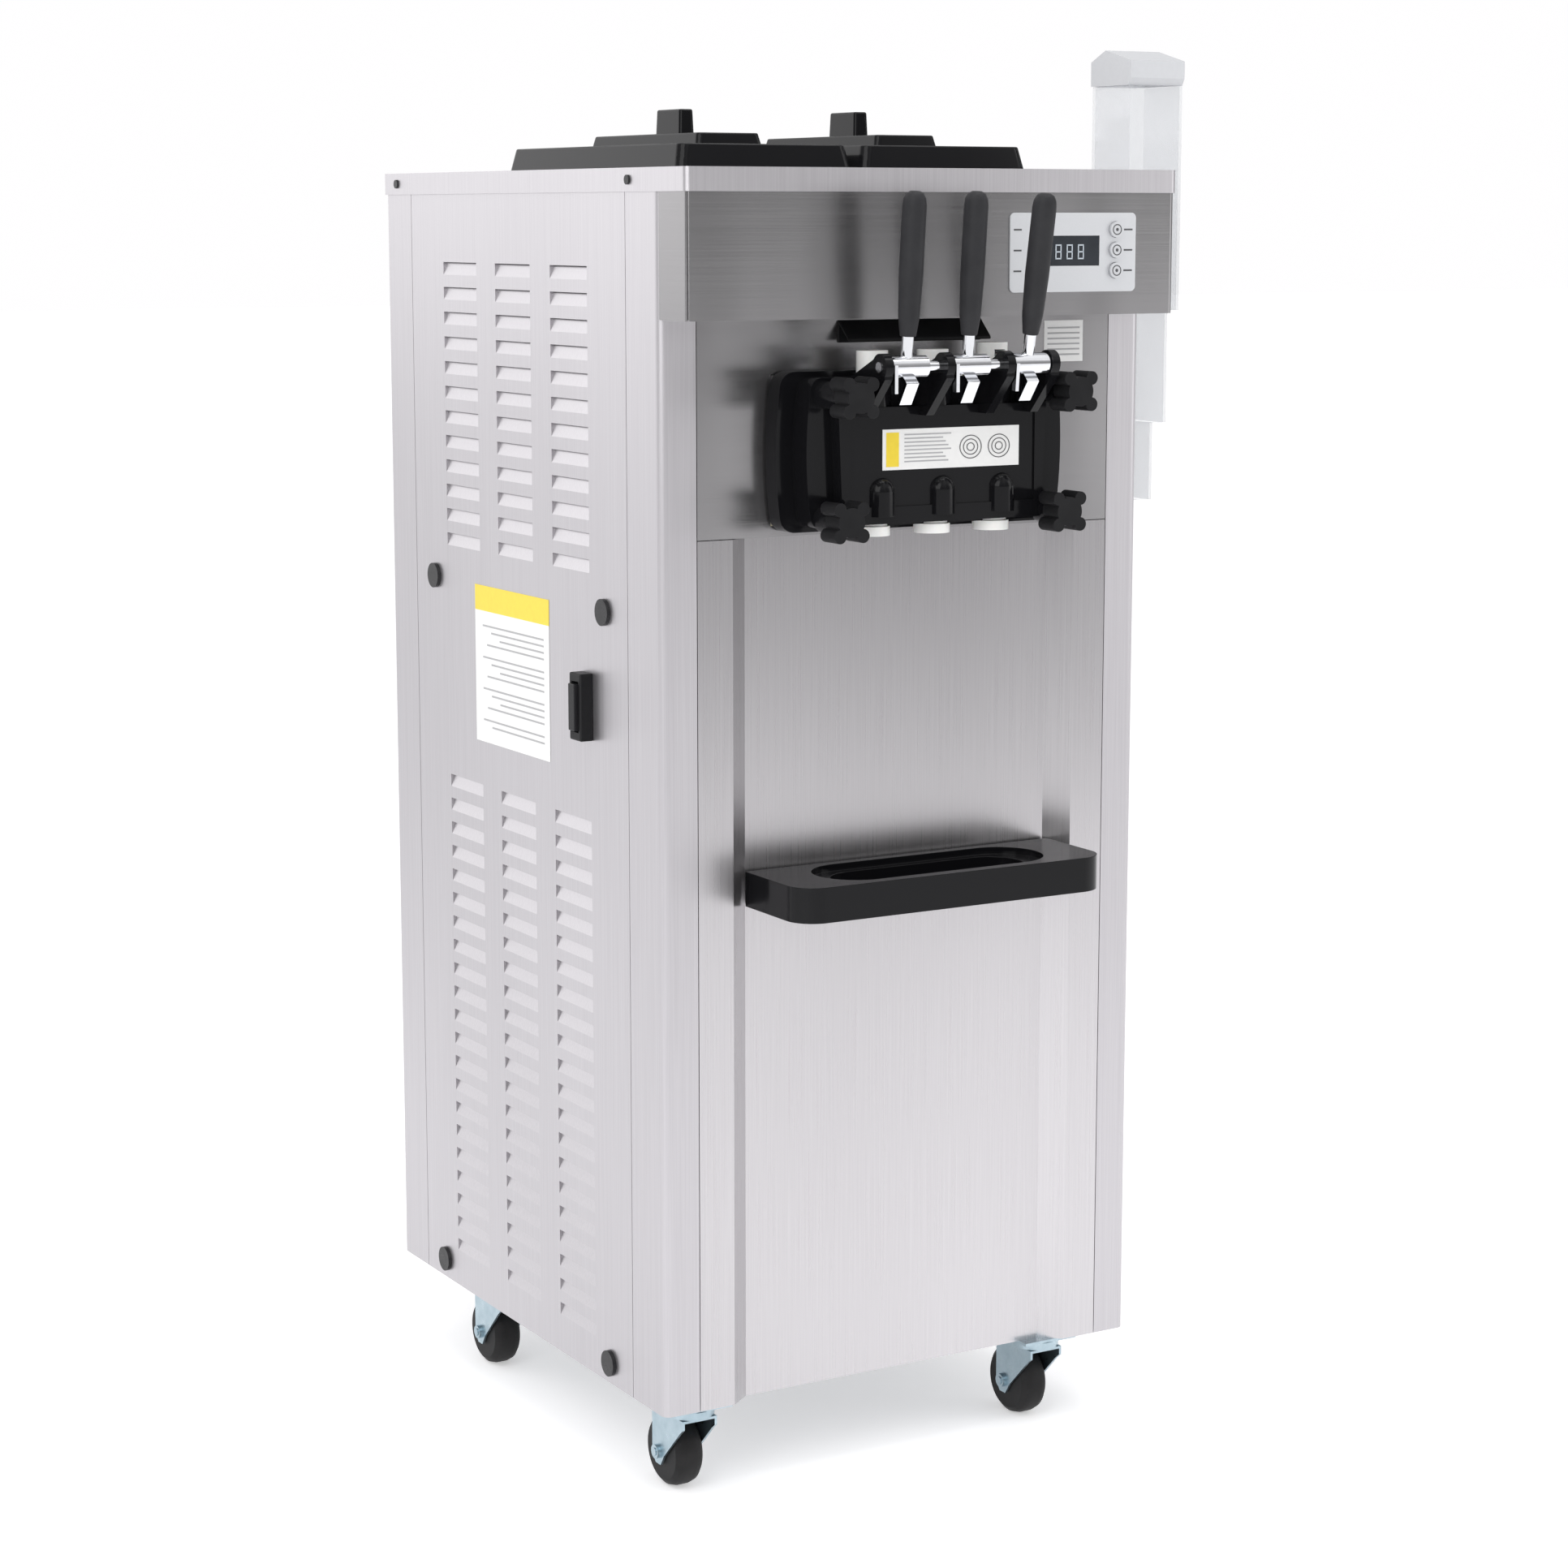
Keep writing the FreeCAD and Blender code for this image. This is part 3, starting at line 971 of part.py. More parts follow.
FAN_Z = f"({PAN} + condenser_rise + condenser_side / 2)"
COIL_RIGHT = f"(-{INNER} + condenser_depth)"
SIDE_HALF = "(condenser_side / 2)"
coil = span("coil", (f"-{INNER}", COIL_RIGHT),
            (f"condenser_along - {SIDE_HALF}", f"condenser_along + {SIDE_HALF}"),
            (f"{PAN} + condenser_rise", f"{PAN} + condenser_rise + condenser_side"))
coil_feet = [span(f"coil_foot_{end}", (f"-{INNER} + 4", f"{COIL_RIGHT} - 4"),
                  (start, f"{start} + 14"), (PAN, f"{PAN} + condenser_rise + 1"))
             for end, start in (("front", f"condenser_along - {SIDE_HALF} + 10"),
                                ("rear", f"condenser_along + {SIDE_HALF} - 24"))]
headers = [rod(f"header_{end}", f"-{INNER} + {depth}", start, f"{PAN} + condenser_rise + 12",
               "6", "condenser_side - 24") for end, depth, start in (
                   ("front", 14, f"condenser_along - {SIDE_HALF} - 4"),
                   ("rear", 30, f"condenser_along + {SIDE_HALF} + 4"))]
keep(join("condenser_set", coil, *coil_feet, *headers), "condenser")

shroud = remove("shroud", span(
    "shroud_plate", (COIL_RIGHT, f"{COIL_RIGHT} + 3"),
    (f"condenser_along - {SIDE_HALF}", f"condenser_along + {SIDE_HALF}"),
    (f"{PAN} + condenser_rise", f"{PAN} + condenser_rise + condenser_side")),
    rod("shroud_hole", f"{COIL_RIGHT} - 1", "condenser_along", FAN_Z, "fan_radius + 5", "8", "X"))
arms = [span(f"shroud_arm_{end}", (f"{COIL_RIGHT} + 2", f"{COIL_RIGHT} + 12 + fan_width + 20"),
             (start, f"{start} + 8"), (f"{FAN_Z} - 6", f"{FAN_Z} + 6"))
        for end, start in (("front", f"condenser_along - {SIDE_HALF} + 2"),
                           ("rear", f"condenser_along + {SIDE_HALF} - 10"))]
bridge = span("shroud_bridge", (f"{COIL_RIGHT} + 12 + fan_width + 12",
                                f"{COIL_RIGHT} + 12 + fan_width + 20"),
              (f"condenser_along - {SIDE_HALF} + 2", f"condenser_along + {SIDE_HALF} - 2"),
              (f"{FAN_Z} - 6", f"{FAN_Z} + 6"))
fan_can = rod("fan_can", f"{COIL_RIGHT} + 12 + fan_width + 6", "condenser_along", FAN_Z,
              "fan_motor", "60", "X")
fan_hole = rod("fan_hole", f"{COIL_RIGHT} + 10 + fan_width", "condenser_along", FAN_Z,
               "fan_shaft + running", "30", "X")
keep(remove("fan_drive", join("fan_metal", shroud, *arms, bridge, fan_can), fan_hole),
     "fan_motor")
fan_pieces = [rod("fan_hub_disc", "0", "0", "0", "fan_hub", "fan_width", "X"),
              rod("fan_spindle", "fan_width - 1", "0", "0", "fan_shaft", "27", "X")]
for number in range(5):
    blade = span(f"fan_blade_{number}", ("-1", "1"), ("-24", "24"),
                 ("fan_hub - 8", "fan_radius - 6"))
    turn = Rotation(Vector(1, 0, 0), 72 * number).multiply(Rotation(Vector(0, 0, 1), 24))
    held = gather(f"fan_blade_{number}_set", blade)
    held.Placement = Placement(Vector(value("fan_width / 2"), 0, 0), turn)
    fan_pieces.append(held)
keep(place(join("fan", *fan_pieces), f"{COIL_RIGHT} + 12", "condenser_along", FAN_Z),
     "fan_blade")

# ---------------------------------------------------------------- cone dispenser
LEFT = f"({HALF} + cone_gap)"
LEVELS = (("hall", "cone_side", "cone_joint", "cone_top"),
          ("neck", "cone_lower_side", "cone_foot", "cone_joint"),
          ("guide", "cone_guide_side", "cone_guide", "cone_foot"))
shells, bores = [], []
for name, side, low, high in LEVELS:
    shells.append(span(name + "_wall", (LEFT, f"{LEFT} + {side}"),
                       (f"cone_middle - {side} / 2", f"cone_middle + {side} / 2"),
                       (head_level(low), head_level(high))))
    bores.append(span(name + "_space", (f"{LEFT} + cone_wall", f"{LEFT} + {side} - cone_wall"),
                      (f"cone_middle - {side} / 2 + cone_wall",
                       f"cone_middle + {side} / 2 - cone_wall"),
                      (head_level(f"{low} - 1" if name == "guide" else f"{low} + 0"),
                       head_level(f"{high} + 1" if name == "hall" else f"{high} - 0"))))
lugs = [span(f"cone_lug_{level}", (HALF, f"{LEFT} + 1"), ("cone_middle - 14", "cone_middle + 14"),
             (head_level(low), head_level(f"{low} + 30")))
        for level, low in (("upper", "cone_joint + 70"), ("lower", "cone_joint + 10"),
                           ("neck", "cone_foot + 20"))]
keep(remove("cone_walls", join("cone_solid", *shells, *lugs), *bores), "cone_tube")

CAP_FOOT = head_level("cone_top + free_gap")
cap_half = "(cone_side / 2 + 2)"
cap_points = [(f"-{cap_half} + 4", "0"), (cap_half, "0"), (cap_half, "cone_cap_height"),
              ("cone_side * 0.15", "cone_cap_height + cone_flap"),
              (f"-{cap_half}", "cone_cap_height"), (f"-{cap_half}", "7")]
cap_solid = place(padded("cone_cap_block", cap_points, "cone_side + 2", "YZ_Plane"),
                  f"{LEFT} - 1", "cone_middle", CAP_FOOT)
cap_space = span("cone_cap_space", (f"{LEFT} + cone_wall", f"{LEFT} + cone_side - cone_wall"),
                 ("cone_middle - cone_side / 2 + 3", "cone_middle + cone_side / 2 - 3"),
                 (f"{CAP_FOOT} - 1", f"{CAP_FOOT} + cone_cap_height - 4"))
barrel = rod("cone_hinge", f"{LEFT} + 8", "cone_middle + cone_side / 2 + 3.5",
             f"{CAP_FOOT} + 2", "2.5", "cone_side - 16", "X")
keep(remove("cone_cap_cut", join("cone_cap_solid", cap_solid, barrel), cap_space), "cone_cap")

# ---------------------------------------------------------------- one shared frame, then STEP
doc.removeObject(probe.Name)
doc.recompute()
faults = [item.Name for item in doc.Objects if "Invalid" in item.State or "Error" in item.State]
faults += [part.Label for part in sub_parts if part.Shape.isNull() or not part.Shape.isValid()]
if faults:
    raise RuntimeError("these did not build: " + ", ".join(faults))

whole = FreeCAD.BoundBox()
for part in sub_parts:
    whole.add(part.Shape.optimalBoundingBox(False, False))
shift = Vector(-(whole.XMin + whole.XMax) / 2, -(whole.YMin + whole.YMax) / 2, -whole.ZMin)
for part in sub_parts:
    part.Placement = Placement(shift, Rotation()).multiply(part.Placement)
doc.recompute()

os.makedirs("parts", exist_ok=True)
for part in sub_parts:
    part.Shape.exportStep(f"parts/{part.Label}.step")
print(len(sub_parts), "sub-parts, shift", shift, "size", whole)
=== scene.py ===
import json
import math

import bmesh
import bpy
from mathutils import Matrix, Vector

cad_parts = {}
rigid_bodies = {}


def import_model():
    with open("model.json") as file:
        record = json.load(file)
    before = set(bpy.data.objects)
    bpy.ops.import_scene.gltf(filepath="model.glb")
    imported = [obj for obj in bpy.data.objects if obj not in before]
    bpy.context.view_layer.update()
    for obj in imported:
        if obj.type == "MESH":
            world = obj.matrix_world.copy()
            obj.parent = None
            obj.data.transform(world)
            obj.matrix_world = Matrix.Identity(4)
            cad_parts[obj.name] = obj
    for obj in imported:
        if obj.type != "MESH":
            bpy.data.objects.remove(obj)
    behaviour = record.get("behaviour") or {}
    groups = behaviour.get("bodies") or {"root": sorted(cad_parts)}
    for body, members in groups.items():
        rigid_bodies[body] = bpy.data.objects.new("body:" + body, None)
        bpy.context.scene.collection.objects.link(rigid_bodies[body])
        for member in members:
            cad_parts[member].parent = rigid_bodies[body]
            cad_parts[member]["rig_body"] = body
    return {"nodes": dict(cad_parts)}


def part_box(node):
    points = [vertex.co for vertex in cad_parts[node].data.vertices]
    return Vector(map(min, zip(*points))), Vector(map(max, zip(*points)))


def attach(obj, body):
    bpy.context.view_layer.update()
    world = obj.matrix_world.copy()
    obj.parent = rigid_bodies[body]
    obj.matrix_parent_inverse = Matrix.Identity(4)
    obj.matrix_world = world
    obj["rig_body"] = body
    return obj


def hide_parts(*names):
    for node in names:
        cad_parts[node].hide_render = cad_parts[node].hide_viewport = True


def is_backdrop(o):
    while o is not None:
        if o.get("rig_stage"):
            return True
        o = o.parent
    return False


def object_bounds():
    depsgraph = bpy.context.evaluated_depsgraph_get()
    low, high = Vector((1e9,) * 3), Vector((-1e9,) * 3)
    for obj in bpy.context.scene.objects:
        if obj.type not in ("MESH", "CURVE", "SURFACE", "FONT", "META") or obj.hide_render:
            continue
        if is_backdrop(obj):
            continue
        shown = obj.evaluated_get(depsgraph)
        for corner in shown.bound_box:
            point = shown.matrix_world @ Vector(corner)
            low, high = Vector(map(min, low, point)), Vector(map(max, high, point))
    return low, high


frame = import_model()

cad_low, cad_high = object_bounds()
nodes = frame["nodes"]
scene = bpy.context.scene


# ---------------------------------------------------------------- floor
# A pale seamless sheet of paper under the castors, faintly lit from below like a light table.
def new_finish(name):
    """Make a material; give it back with its node tree and its shader."""
    material = bpy.data.materials.new(name)
    material.use_nodes = True
    return material, material.node_tree, material.node_tree.nodes["Principled BSDF"]


floor_half = 40
floor_drop = 0.0005
mesh = bpy.data.meshes.new("floor")
mesh.from_pydata([(-floor_half, -floor_half, 0), (floor_half, -floor_half, 0),
                  (floor_half, floor_half, 0), (-floor_half, floor_half, 0)],
                 [], [(0, 1, 2, 3)])
floor = bpy.data.objects.new("floor", mesh)
scene.collection.objects.link(floor)
floor.location.z = cad_low.z - floor_drop
material, tree, shader = new_finish("floor_paper")
shader.inputs["Base Color"].default_value = (0.86, 0.86, 0.87, 1)
shader.inputs["Roughness"].default_value = 0.85
shader.inputs["Specular IOR Level"].default_value = 0.1
shader.inputs["Emission Color"].default_value = (1, 1, 1, 1)
shader.inputs["Emission Strength"].default_value = 0.42
mesh.materials.append(material)
floor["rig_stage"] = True


# ---------------------------------------------------------------- room
# What the sheets reflect is not what the camera sees behind them: a room that is dim at eye
# level, brighter overhead and behind the louvred side, and broken by soft upright bands,
# against a plain pale background.
def span(tree, value, low, high, start=0.0, end=1.0, eased=False):
    """Carry a value that runs from start to end over to low to high."""
    made = tree.nodes.new("ShaderNodeMapRange")
    made.interpolation_type = "SMOOTHSTEP" if eased else "LINEAR"
    made.inputs["From Min"].default_value = start
    made.inputs["From Max"].default_value = end
    made.inputs["To Min"].default_value = low
    made.inputs["To Max"].default_value = high
    tree.links.new(value, made.inputs["Value"])
    return made.outputs[0]


def grain(tree, place, scale, detail=2.0, rough=0.5, stretch=None):
    """Cloudy noise over the given coordinates, drawn out along an axis by a stretch."""
    if stretch:
        drawn = tree.nodes.new("ShaderNodeMapping")
        drawn.inputs["Scale"].default_value = stretch
        tree.links.new(place, drawn.inputs[0])
        place = drawn.outputs[0]
    noise = tree.nodes.new("ShaderNodeTexNoise")
    noise.inputs["Scale"].default_value = scale
    noise.inputs["Detail"].default_value = detail
    noise.inputs["Roughness"].default_value = rough
    tree.links.new(place, noise.inputs["Vector"])
    return noise.outputs[0]


def switched(tree, share, first, second):
    """Go from the first brightness to the second, a plain number, as the share grows."""
    made = tree.nodes.new("ShaderNodeMix")
    made.data_type = "FLOAT"
    tree.links.new(share, made.inputs[0])
    tree.links.new(first, made.inputs[2])
    made.inputs[3].default_value = second
    return made.outputs[0]


behind_left_side = (-0.45, 0.89, 0.08)
patch_brightness = 1.75
seen_brightness = 1.0
world = bpy.data.worlds.new("studio")
scene.world = world
world.use_nodes = True
tree = world.node_tree
tree.nodes.clear()
around = tree.nodes.new("ShaderNodeTexCoord").outputs["Generated"]
level = tree.nodes.new("ShaderNodeSeparateXYZ")
tree.links.new(around, level.inputs[0])
rise = span(tree, level.outputs["Z"], 0.22, 0.85, start=-0.05, end=0.75)
bands = grain(tree, around, 1.6, detail=1.0, stretch=(2.6, 2.6, 0.35))
room = tree.nodes.new("ShaderNodeMath")
room.operation = "MULTIPLY"
tree.links.new(rise, room.inputs[0])
tree.links.new(span(tree, bands, 0.62, 1.30, start=0.35, end=0.65), room.inputs[1])
toward = tree.nodes.new("ShaderNodeVectorMath")
toward.operation = "DOT_PRODUCT"
toward.inputs[1].default_value = behind_left_side
tree.links.new(around, toward.inputs[0])
patch = span(tree, toward.outputs["Value"], 0.0, 1.0, start=0.74, end=0.96, eased=True)
lit = switched(tree, patch, room.outputs[0], patch_brightness)
seen = tree.nodes.new("ShaderNodeLightPath").outputs["Is Camera Ray"]
background = tree.nodes.new("ShaderNodeBackground")
background.inputs["Color"].default_value = (1.0, 0.995, 1.0, 1)
output = tree.nodes.new("ShaderNodeOutputWorld")
tree.links.new(switched(tree, seen, lit, seen_brightness), background.inputs["Strength"])
tree.links.new(background.outputs[0], output.inputs[0])

# ---------------------------------------------------------------- lamps
# One large window light on the left, a dimmer one on the right and a strip above, in metres
# and watts, each aimed at the middle of the machine.
for name, spot, aim, size, power in (
        ("window", (-2.6, -1.8, 2.4), (0, 0, 0.7), (2.2, 2.8), 46),
        ("fill", (2.8, -2.2, 1.8), (0, 0, 0.7), (1.6, 2.4), 18),
        ("strip", (0.0, -0.6, 3.2), (0, 0, 0.8), (2.6, 1.2), 24)):
    data = bpy.data.lights.new(name, "AREA")
    data.shape = "RECTANGLE"
    data.size, data.size_y = size
    data.energy = power
    lamp = bpy.data.objects.new(name, data)
    scene.collection.objects.link(lamp)
    lamp.location = spot
    lamp.rotation_euler = (Vector(aim) - Vector(spot)).to_track_quat("-Z", "Y").to_euler()

# ---------------------------------------------------------------- camera
# It stands in front on the left, a little below the lids, and looks slightly down.
yaw, pitch = math.radians(30.09), math.radians(8.85)
look = Vector((math.sin(yaw) * math.cos(pitch), math.cos(yaw) * math.cos(pitch),
               -math.sin(pitch)))
data = bpy.data.cameras.new("camera")
data.lens = 76.9
data.sensor_width = 36
data.shift_y = -0.03
camera = bpy.data.objects.new("camera", data)
scene.collection.objects.link(camera)
scene.camera = camera
camera.location = (-1.741, -2.9636, 1.2344)
camera.rotation_euler = look.to_track_quat("-Z", "Y").to_euler()
scene.view_settings.view_transform = "Standard"


# ---------------------------------------------------------------- cabinet sheets
# Brushed stainless steel: a fine grain along the rolling direction, a slow change of tone over
# each sheet, and a little mauve in the colour.  The front panel's colour is darkened towards its
# top as painted shade.  The hood and the panel behind the levers get a darker copy of the steel,
# with strong slow bands of tone, as a painted reflection of a dim room; their grain runs across.
def roughen(tree, shader, height, strength, depth):
    """Press a fine relief into the surface."""
    bump = tree.nodes.new("ShaderNodeBump")
    bump.inputs["Strength"].default_value = strength
    bump.inputs["Distance"].default_value = depth
    tree.links.new(height, bump.inputs["Height"])
    tree.links.new(bump.outputs[0], shader.inputs["Normal"])


def tones(tree, share, first, second, way="MIX"):
    """Blend two colours; each of the three is a value or comes from another node."""
    made = tree.nodes.new("ShaderNodeMixRGB")
    made.blend_type = way
    for socket, given in zip(made.inputs, (share, first, second)):
        if isinstance(given, bpy.types.NodeSocket):
            tree.links.new(given, socket)
        else:
            socket.default_value = given + (1,) if isinstance(given, tuple) else given
    return made.outputs[0]


def paint(names, material, crease):
    """Put a material on CAD pieces and shade them smooth up to a crease, in degrees."""
    for name in names:
        mesh = nodes[name].data
        mesh.materials.clear()
        mesh.materials.append(material)
        mesh.shade_smooth()
        mesh.set_sharp_from_angle(angle=math.radians(crease))


sheet_crease = 28
for slot_name, colour, rough, across, contrast, painted_top_shade, sheets in (
        ("bright_sheet", (0.52, 0.505, 0.525), 0.34, False, 0.13, 1.0,
         ("corner_posts", "side_panel_left", "side_panel_right", "rear_panel", "top_cap")),
        ("front_sheet", (0.54, 0.525, 0.54), 0.28, False, 0.20, 0.62, ("front_panel",)),
        # painted reflection: a darker copy of the steel, strongly banded, stands for the dim
        # room seen in the hood and the middle panel
        ("dark_painted_reflection_sheet", (0.27, 0.265, 0.27), 0.22, True, 0.50, 1.0, ("hood", "middle_panel"))):
    material, tree, shader = new_finish(slot_name)
    place = tree.nodes.new("ShaderNodeTexCoord").outputs["Object"]
    brushed = grain(tree, place, 1.0, detail=4, stretch=(6, 6, 900) if across else (900, 900, 6))
    # slow tone drift over each sheet; at the dark sheet's strong contrast these bands are
    # painted reflected streaks
    slow = grain(tree, place, 1.3, detail=1.5,
                 stretch=(7.0, 1.2, 1.4) if across else (1.6, 1.2, 1.0))
    tone = tones(tree, slow, tuple(part * (1 - contrast) for part in colour),
                 tuple(min(part * (1 + contrast), 1) for part in colour))
    fine = tones(tree, 0.07 if across else 0.14, tone, brushed, way="OVERLAY")
    height = tree.nodes.new("ShaderNodeSeparateXYZ")
    tree.links.new(place, height.inputs[0])
    # painted shade: the colour darkens from 0.50 m up to 0.98 m, to 0.62 on the front panel; the
    # other sheets stay even
    painted_shade_ramp = span(tree, height.outputs["Z"], 1.0, painted_top_shade, start=0.50, end=0.98, eased=True)
    tree.links.new(tones(tree, 1.0, fine, painted_shade_ramp, way="MULTIPLY"), shader.inputs["Base Color"])
    tree.links.new(span(tree, brushed, rough - 0.05, rough + 0.07), shader.inputs["Roughness"])
    roughen(tree, shader, brushed, 0.010 if across else 0.030, 0.0004)
    shader.inputs["Metallic"].default_value = 0.92
    shader.inputs["Anisotropic"].default_value = 0.4
    paint(sheets, material, sheet_crease)


def mould(name, material, edge, fold):
    """Stand in for a CAD piece with a copy whose edges, past a fold in degrees, are rounded."""
    mesh = nodes[name].data.copy()
    mesh.materials.clear()
    mesh.materials.append(material)
    shape = bmesh.new()
    shape.from_mesh(mesh)
    bmesh.ops.remove_doubles(shape, verts=shape.verts, dist=1e-5)
    bmesh.ops.dissolve_limit(shape, angle_limit=math.radians(0.6), verts=shape.verts,
                             edges=shape.edges)
    shape.to_mesh(mesh)
    shape.free()
    mesh.shade_smooth()
    piece = bpy.data.objects.new(name + "_moulding", mesh)
    scene.collection.objects.link(piece)
    soft = piece.modifiers.new("soft_edges", "BEVEL")
    soft.width = edge
    soft.segments = 3
    soft.limit_method = "ANGLE"
    soft.angle_limit = math.radians(fold)
    piece.modifiers.new("even_faces", "WEIGHTED_NORMAL").weight = 80
    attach(piece, nodes[name]["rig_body"])
    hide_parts(name)


black_shine = 0.12
material, tree, shader = new_finish("black_gloss_moulding")
place = tree.nodes.new("ShaderNodeTexCoord").outputs["Object"]
roughen(tree, shader, grain(tree, place, 420, detail=2), 0.02, 0.0004)
facing_up = tree.nodes.new("ShaderNodeSeparateXYZ")
tree.links.new(tree.nodes.new("ShaderNodeNewGeometry").outputs["Normal"], facing_up.inputs[0])
dust = tree.nodes.new("ShaderNodeMath")
dust.operation = "MULTIPLY"
tree.links.new(facing_up.outputs["Z"], dust.inputs[0])
tree.links.new(grain(tree, place, 22, detail=5), dust.inputs[1])
dusty = tones(tree, dust.outputs[0], (0.006, 0.006, 0.007), (0.012, 0.012, 0.013))
tree.links.new(dusty, shader.inputs["Base Color"])
tree.links.new(span(tree, dust.outputs[0], 0.12, 0.30), shader.inputs["Roughness"])
shader.inputs["Specular IOR Level"].default_value = black_shine
shader.inputs["Coat Weight"].default_value = 0.10
shader.inputs["Coat Roughness"].default_value = 0.12
for name, edge in (("lid_left", 0.0018), ("lid_right", 0.0018), ("drip_tray", 0.0022),
                   ("dispensing_door", 0.0012)):
    mould(name, material, edge, fold=40)

# ---------------------------------------------------------------- matt black plastic
# Star knobs, slot lip, switch body and fan, the levers' grips and the castors' tyres: a
# spark-eroded grain that catches a soft sheen, with the edges a touch paler where they wear.
castor_corners = ("front_left", "front_right", "rear_left", "rear_right")
valve_places = ("left", "middle", "right")
knob_places = ("left_low", "left_high", "right_low", "right_high")
small_edge = 0.0009
for slot_name, dark, pale, rough, grain_scale, painted in (
        ("knob_plastic", (0.007, 0.007, 0.008), (0.018, 0.018, 0.019), 0.42, 900,
         ["star_knob_" + where for where in knob_places]
         + ["slot_trim", "switch_housing", "fan_blade"]),
        ("rocker_plastic", (0.010, 0.010, 0.011), (0.020, 0.020, 0.022), 0.24, 500,
         ["switch_rocker"]),
        ("grip_plastic", (0.018, 0.018, 0.020), (0.040, 0.040, 0.043), 0.46, 700,
         ["lever_grip_" + where for where in valve_places]),
        ("tyre_rubber", (0.010, 0.010, 0.011), (0.035, 0.034, 0.034), 0.50, 260,
         ["castor_wheel_" + where for where in castor_corners])):
    material, tree, shader = new_finish(slot_name)
    place = tree.nodes.new("ShaderNodeTexCoord").outputs["Object"]
    roughen(tree, shader, grain(tree, place, grain_scale, detail=3), 0.10, 0.0003)
    wear = grain(tree, place, 34, detail=5)
    edges = tree.nodes.new("ShaderNodeNewGeometry").outputs["Pointiness"]
    worn = tree.nodes.new("ShaderNodeMath")
    worn.operation = "MAXIMUM"
    tree.links.new(wear, worn.inputs[0])
    tree.links.new(span(tree, edges, 0.0, 1.0, start=0.50, end=0.62), worn.inputs[1])
    tree.links.new(tones(tree, worn.outputs[0], dark, pale), shader.inputs["Base Color"])
    tree.links.new(span(tree, wear, rough - 0.06, rough + 0.10), shader.inputs["Roughness"])
    shader.inputs["Specular IOR Level"].default_value = black_shine
    for name in painted:
        mould(name, material, small_edge, fold=38)

# ---------------------------------------------------------------- polished and plated metal
# Lever yokes and studs are polished and the case screws have black heads; the castor forks and
# plates are bright zinc, bluish with a cloudy passivated bloom; the inner tubs are satin, the
# frame is galvanised, and the motors and the compressor are enamelled.
metal, lacquer = 1.0, 0.0
full_shine, screw_shine = 0.5, 0.2
part_crease = 32
for slot_name, colour, second, rough, cloud, base, shine, painted in (
        ("polished_metal", (0.86, 0.87, 0.89), (0.70, 0.71, 0.74), 0.09, 60, metal, full_shine,
         ["lever_yoke_" + where for where in valve_places] + ["door_pins"]),
        ("screw_black", (0.030, 0.030, 0.032), (0.015, 0.015, 0.016), 0.28, 90, lacquer,
         screw_shine, ["case_screws"]),
        ("zinc_plate", (0.50, 0.60, 0.65), (0.30, 0.40, 0.46), 0.30, 70, metal, full_shine,
         ["castor_plates"] + ["castor_fork_" + where for where in castor_corners]),
        ("satin_tub", (0.62, 0.62, 0.63), (0.50, 0.50, 0.51), 0.32, 30, metal, full_shine,
         ["hoppers", "freezing_cylinders", "beater_left", "beater_right"]),
        ("galvanised_frame", (0.42, 0.43, 0.45), (0.30, 0.31, 0.33), 0.48, 45, metal,
         full_shine, ["base_frame"]),
        ("fin_metal", (0.66, 0.67, 0.68), (0.45, 0.46, 0.47), 0.36, 400, metal, full_shine,
         ["condenser"]),
        ("enamel", (0.10, 0.11, 0.12), (0.06, 0.065, 0.07), 0.34, 40, lacquer, full_shine,
         ["gear_motors", "fan_motor", "compressor"])):
    material, tree, shader = new_finish(slot_name)
    place = tree.nodes.new("ShaderNodeTexCoord").outputs["Object"]
    bloom = grain(tree, place, cloud, detail=6, rough=0.6)
    scratches = grain(tree, place, 1.0, detail=2, stretch=(1400, 200, 200))
    roughen(tree, shader, scratches, 0.03, 0.0002)
    tree.links.new(tones(tree, bloom, colour, second), shader.inputs["Base Color"])
    tree.links.new(span(tree, bloom, rough * 0.8, rough * 1.35, start=0.3, end=0.7),
                   shader.inputs["Roughness"])
    shader.inputs["Metallic"].default_value = base
    shader.inputs["Specular IOR Level"].default_value = shine
    paint(painted, material, part_crease)

# ---------------------------------------------------------------- white and pale plastics
# Valve pistons, nozzles and feed tubes are natural white acetal; gaskets are milky silicone,
# the foam is cream and open-grained, and the cone dispenser's cap is pale grey.
for slot_name, colour, rough, scale, relief, soft_light, painted in (
        ("acetal", (0.86, 0.86, 0.84), 0.30, 160, 0.06, 0.05,
         ["valve_piston_" + where for where in valve_places] + ["nozzles", "feed_tubes"]),
        ("silicone", (0.80, 0.80, 0.78), 0.50, 220, 0.08, 0.10, ["door_gaskets"]),
        ("cream_foam", (0.78, 0.70, 0.48), 0.85, 700, 0.60, 0.0, ["cylinder_insulation"]),
        ("cap_plastic", (0.58, 0.59, 0.61), 0.34, 240, 0.08, 0.0, ["cone_cap"])):
    material, tree, shader = new_finish(slot_name)
    place = tree.nodes.new("ShaderNodeTexCoord").outputs["Object"]
    speck = grain(tree, place, scale, detail=4)
    roughen(tree, shader, speck, relief, 0.0005)
    shaded = tuple(part * 0.93 for part in colour)
    tree.links.new(tones(tree, speck, shaded, colour), shader.inputs["Base Color"])
    shader.inputs["Roughness"].default_value = rough
    shader.inputs["Subsurface Weight"].default_value = soft_light
    shader.inputs["Subsurface Scale"].default_value = 0.003
    paint(painted, material, part_crease)

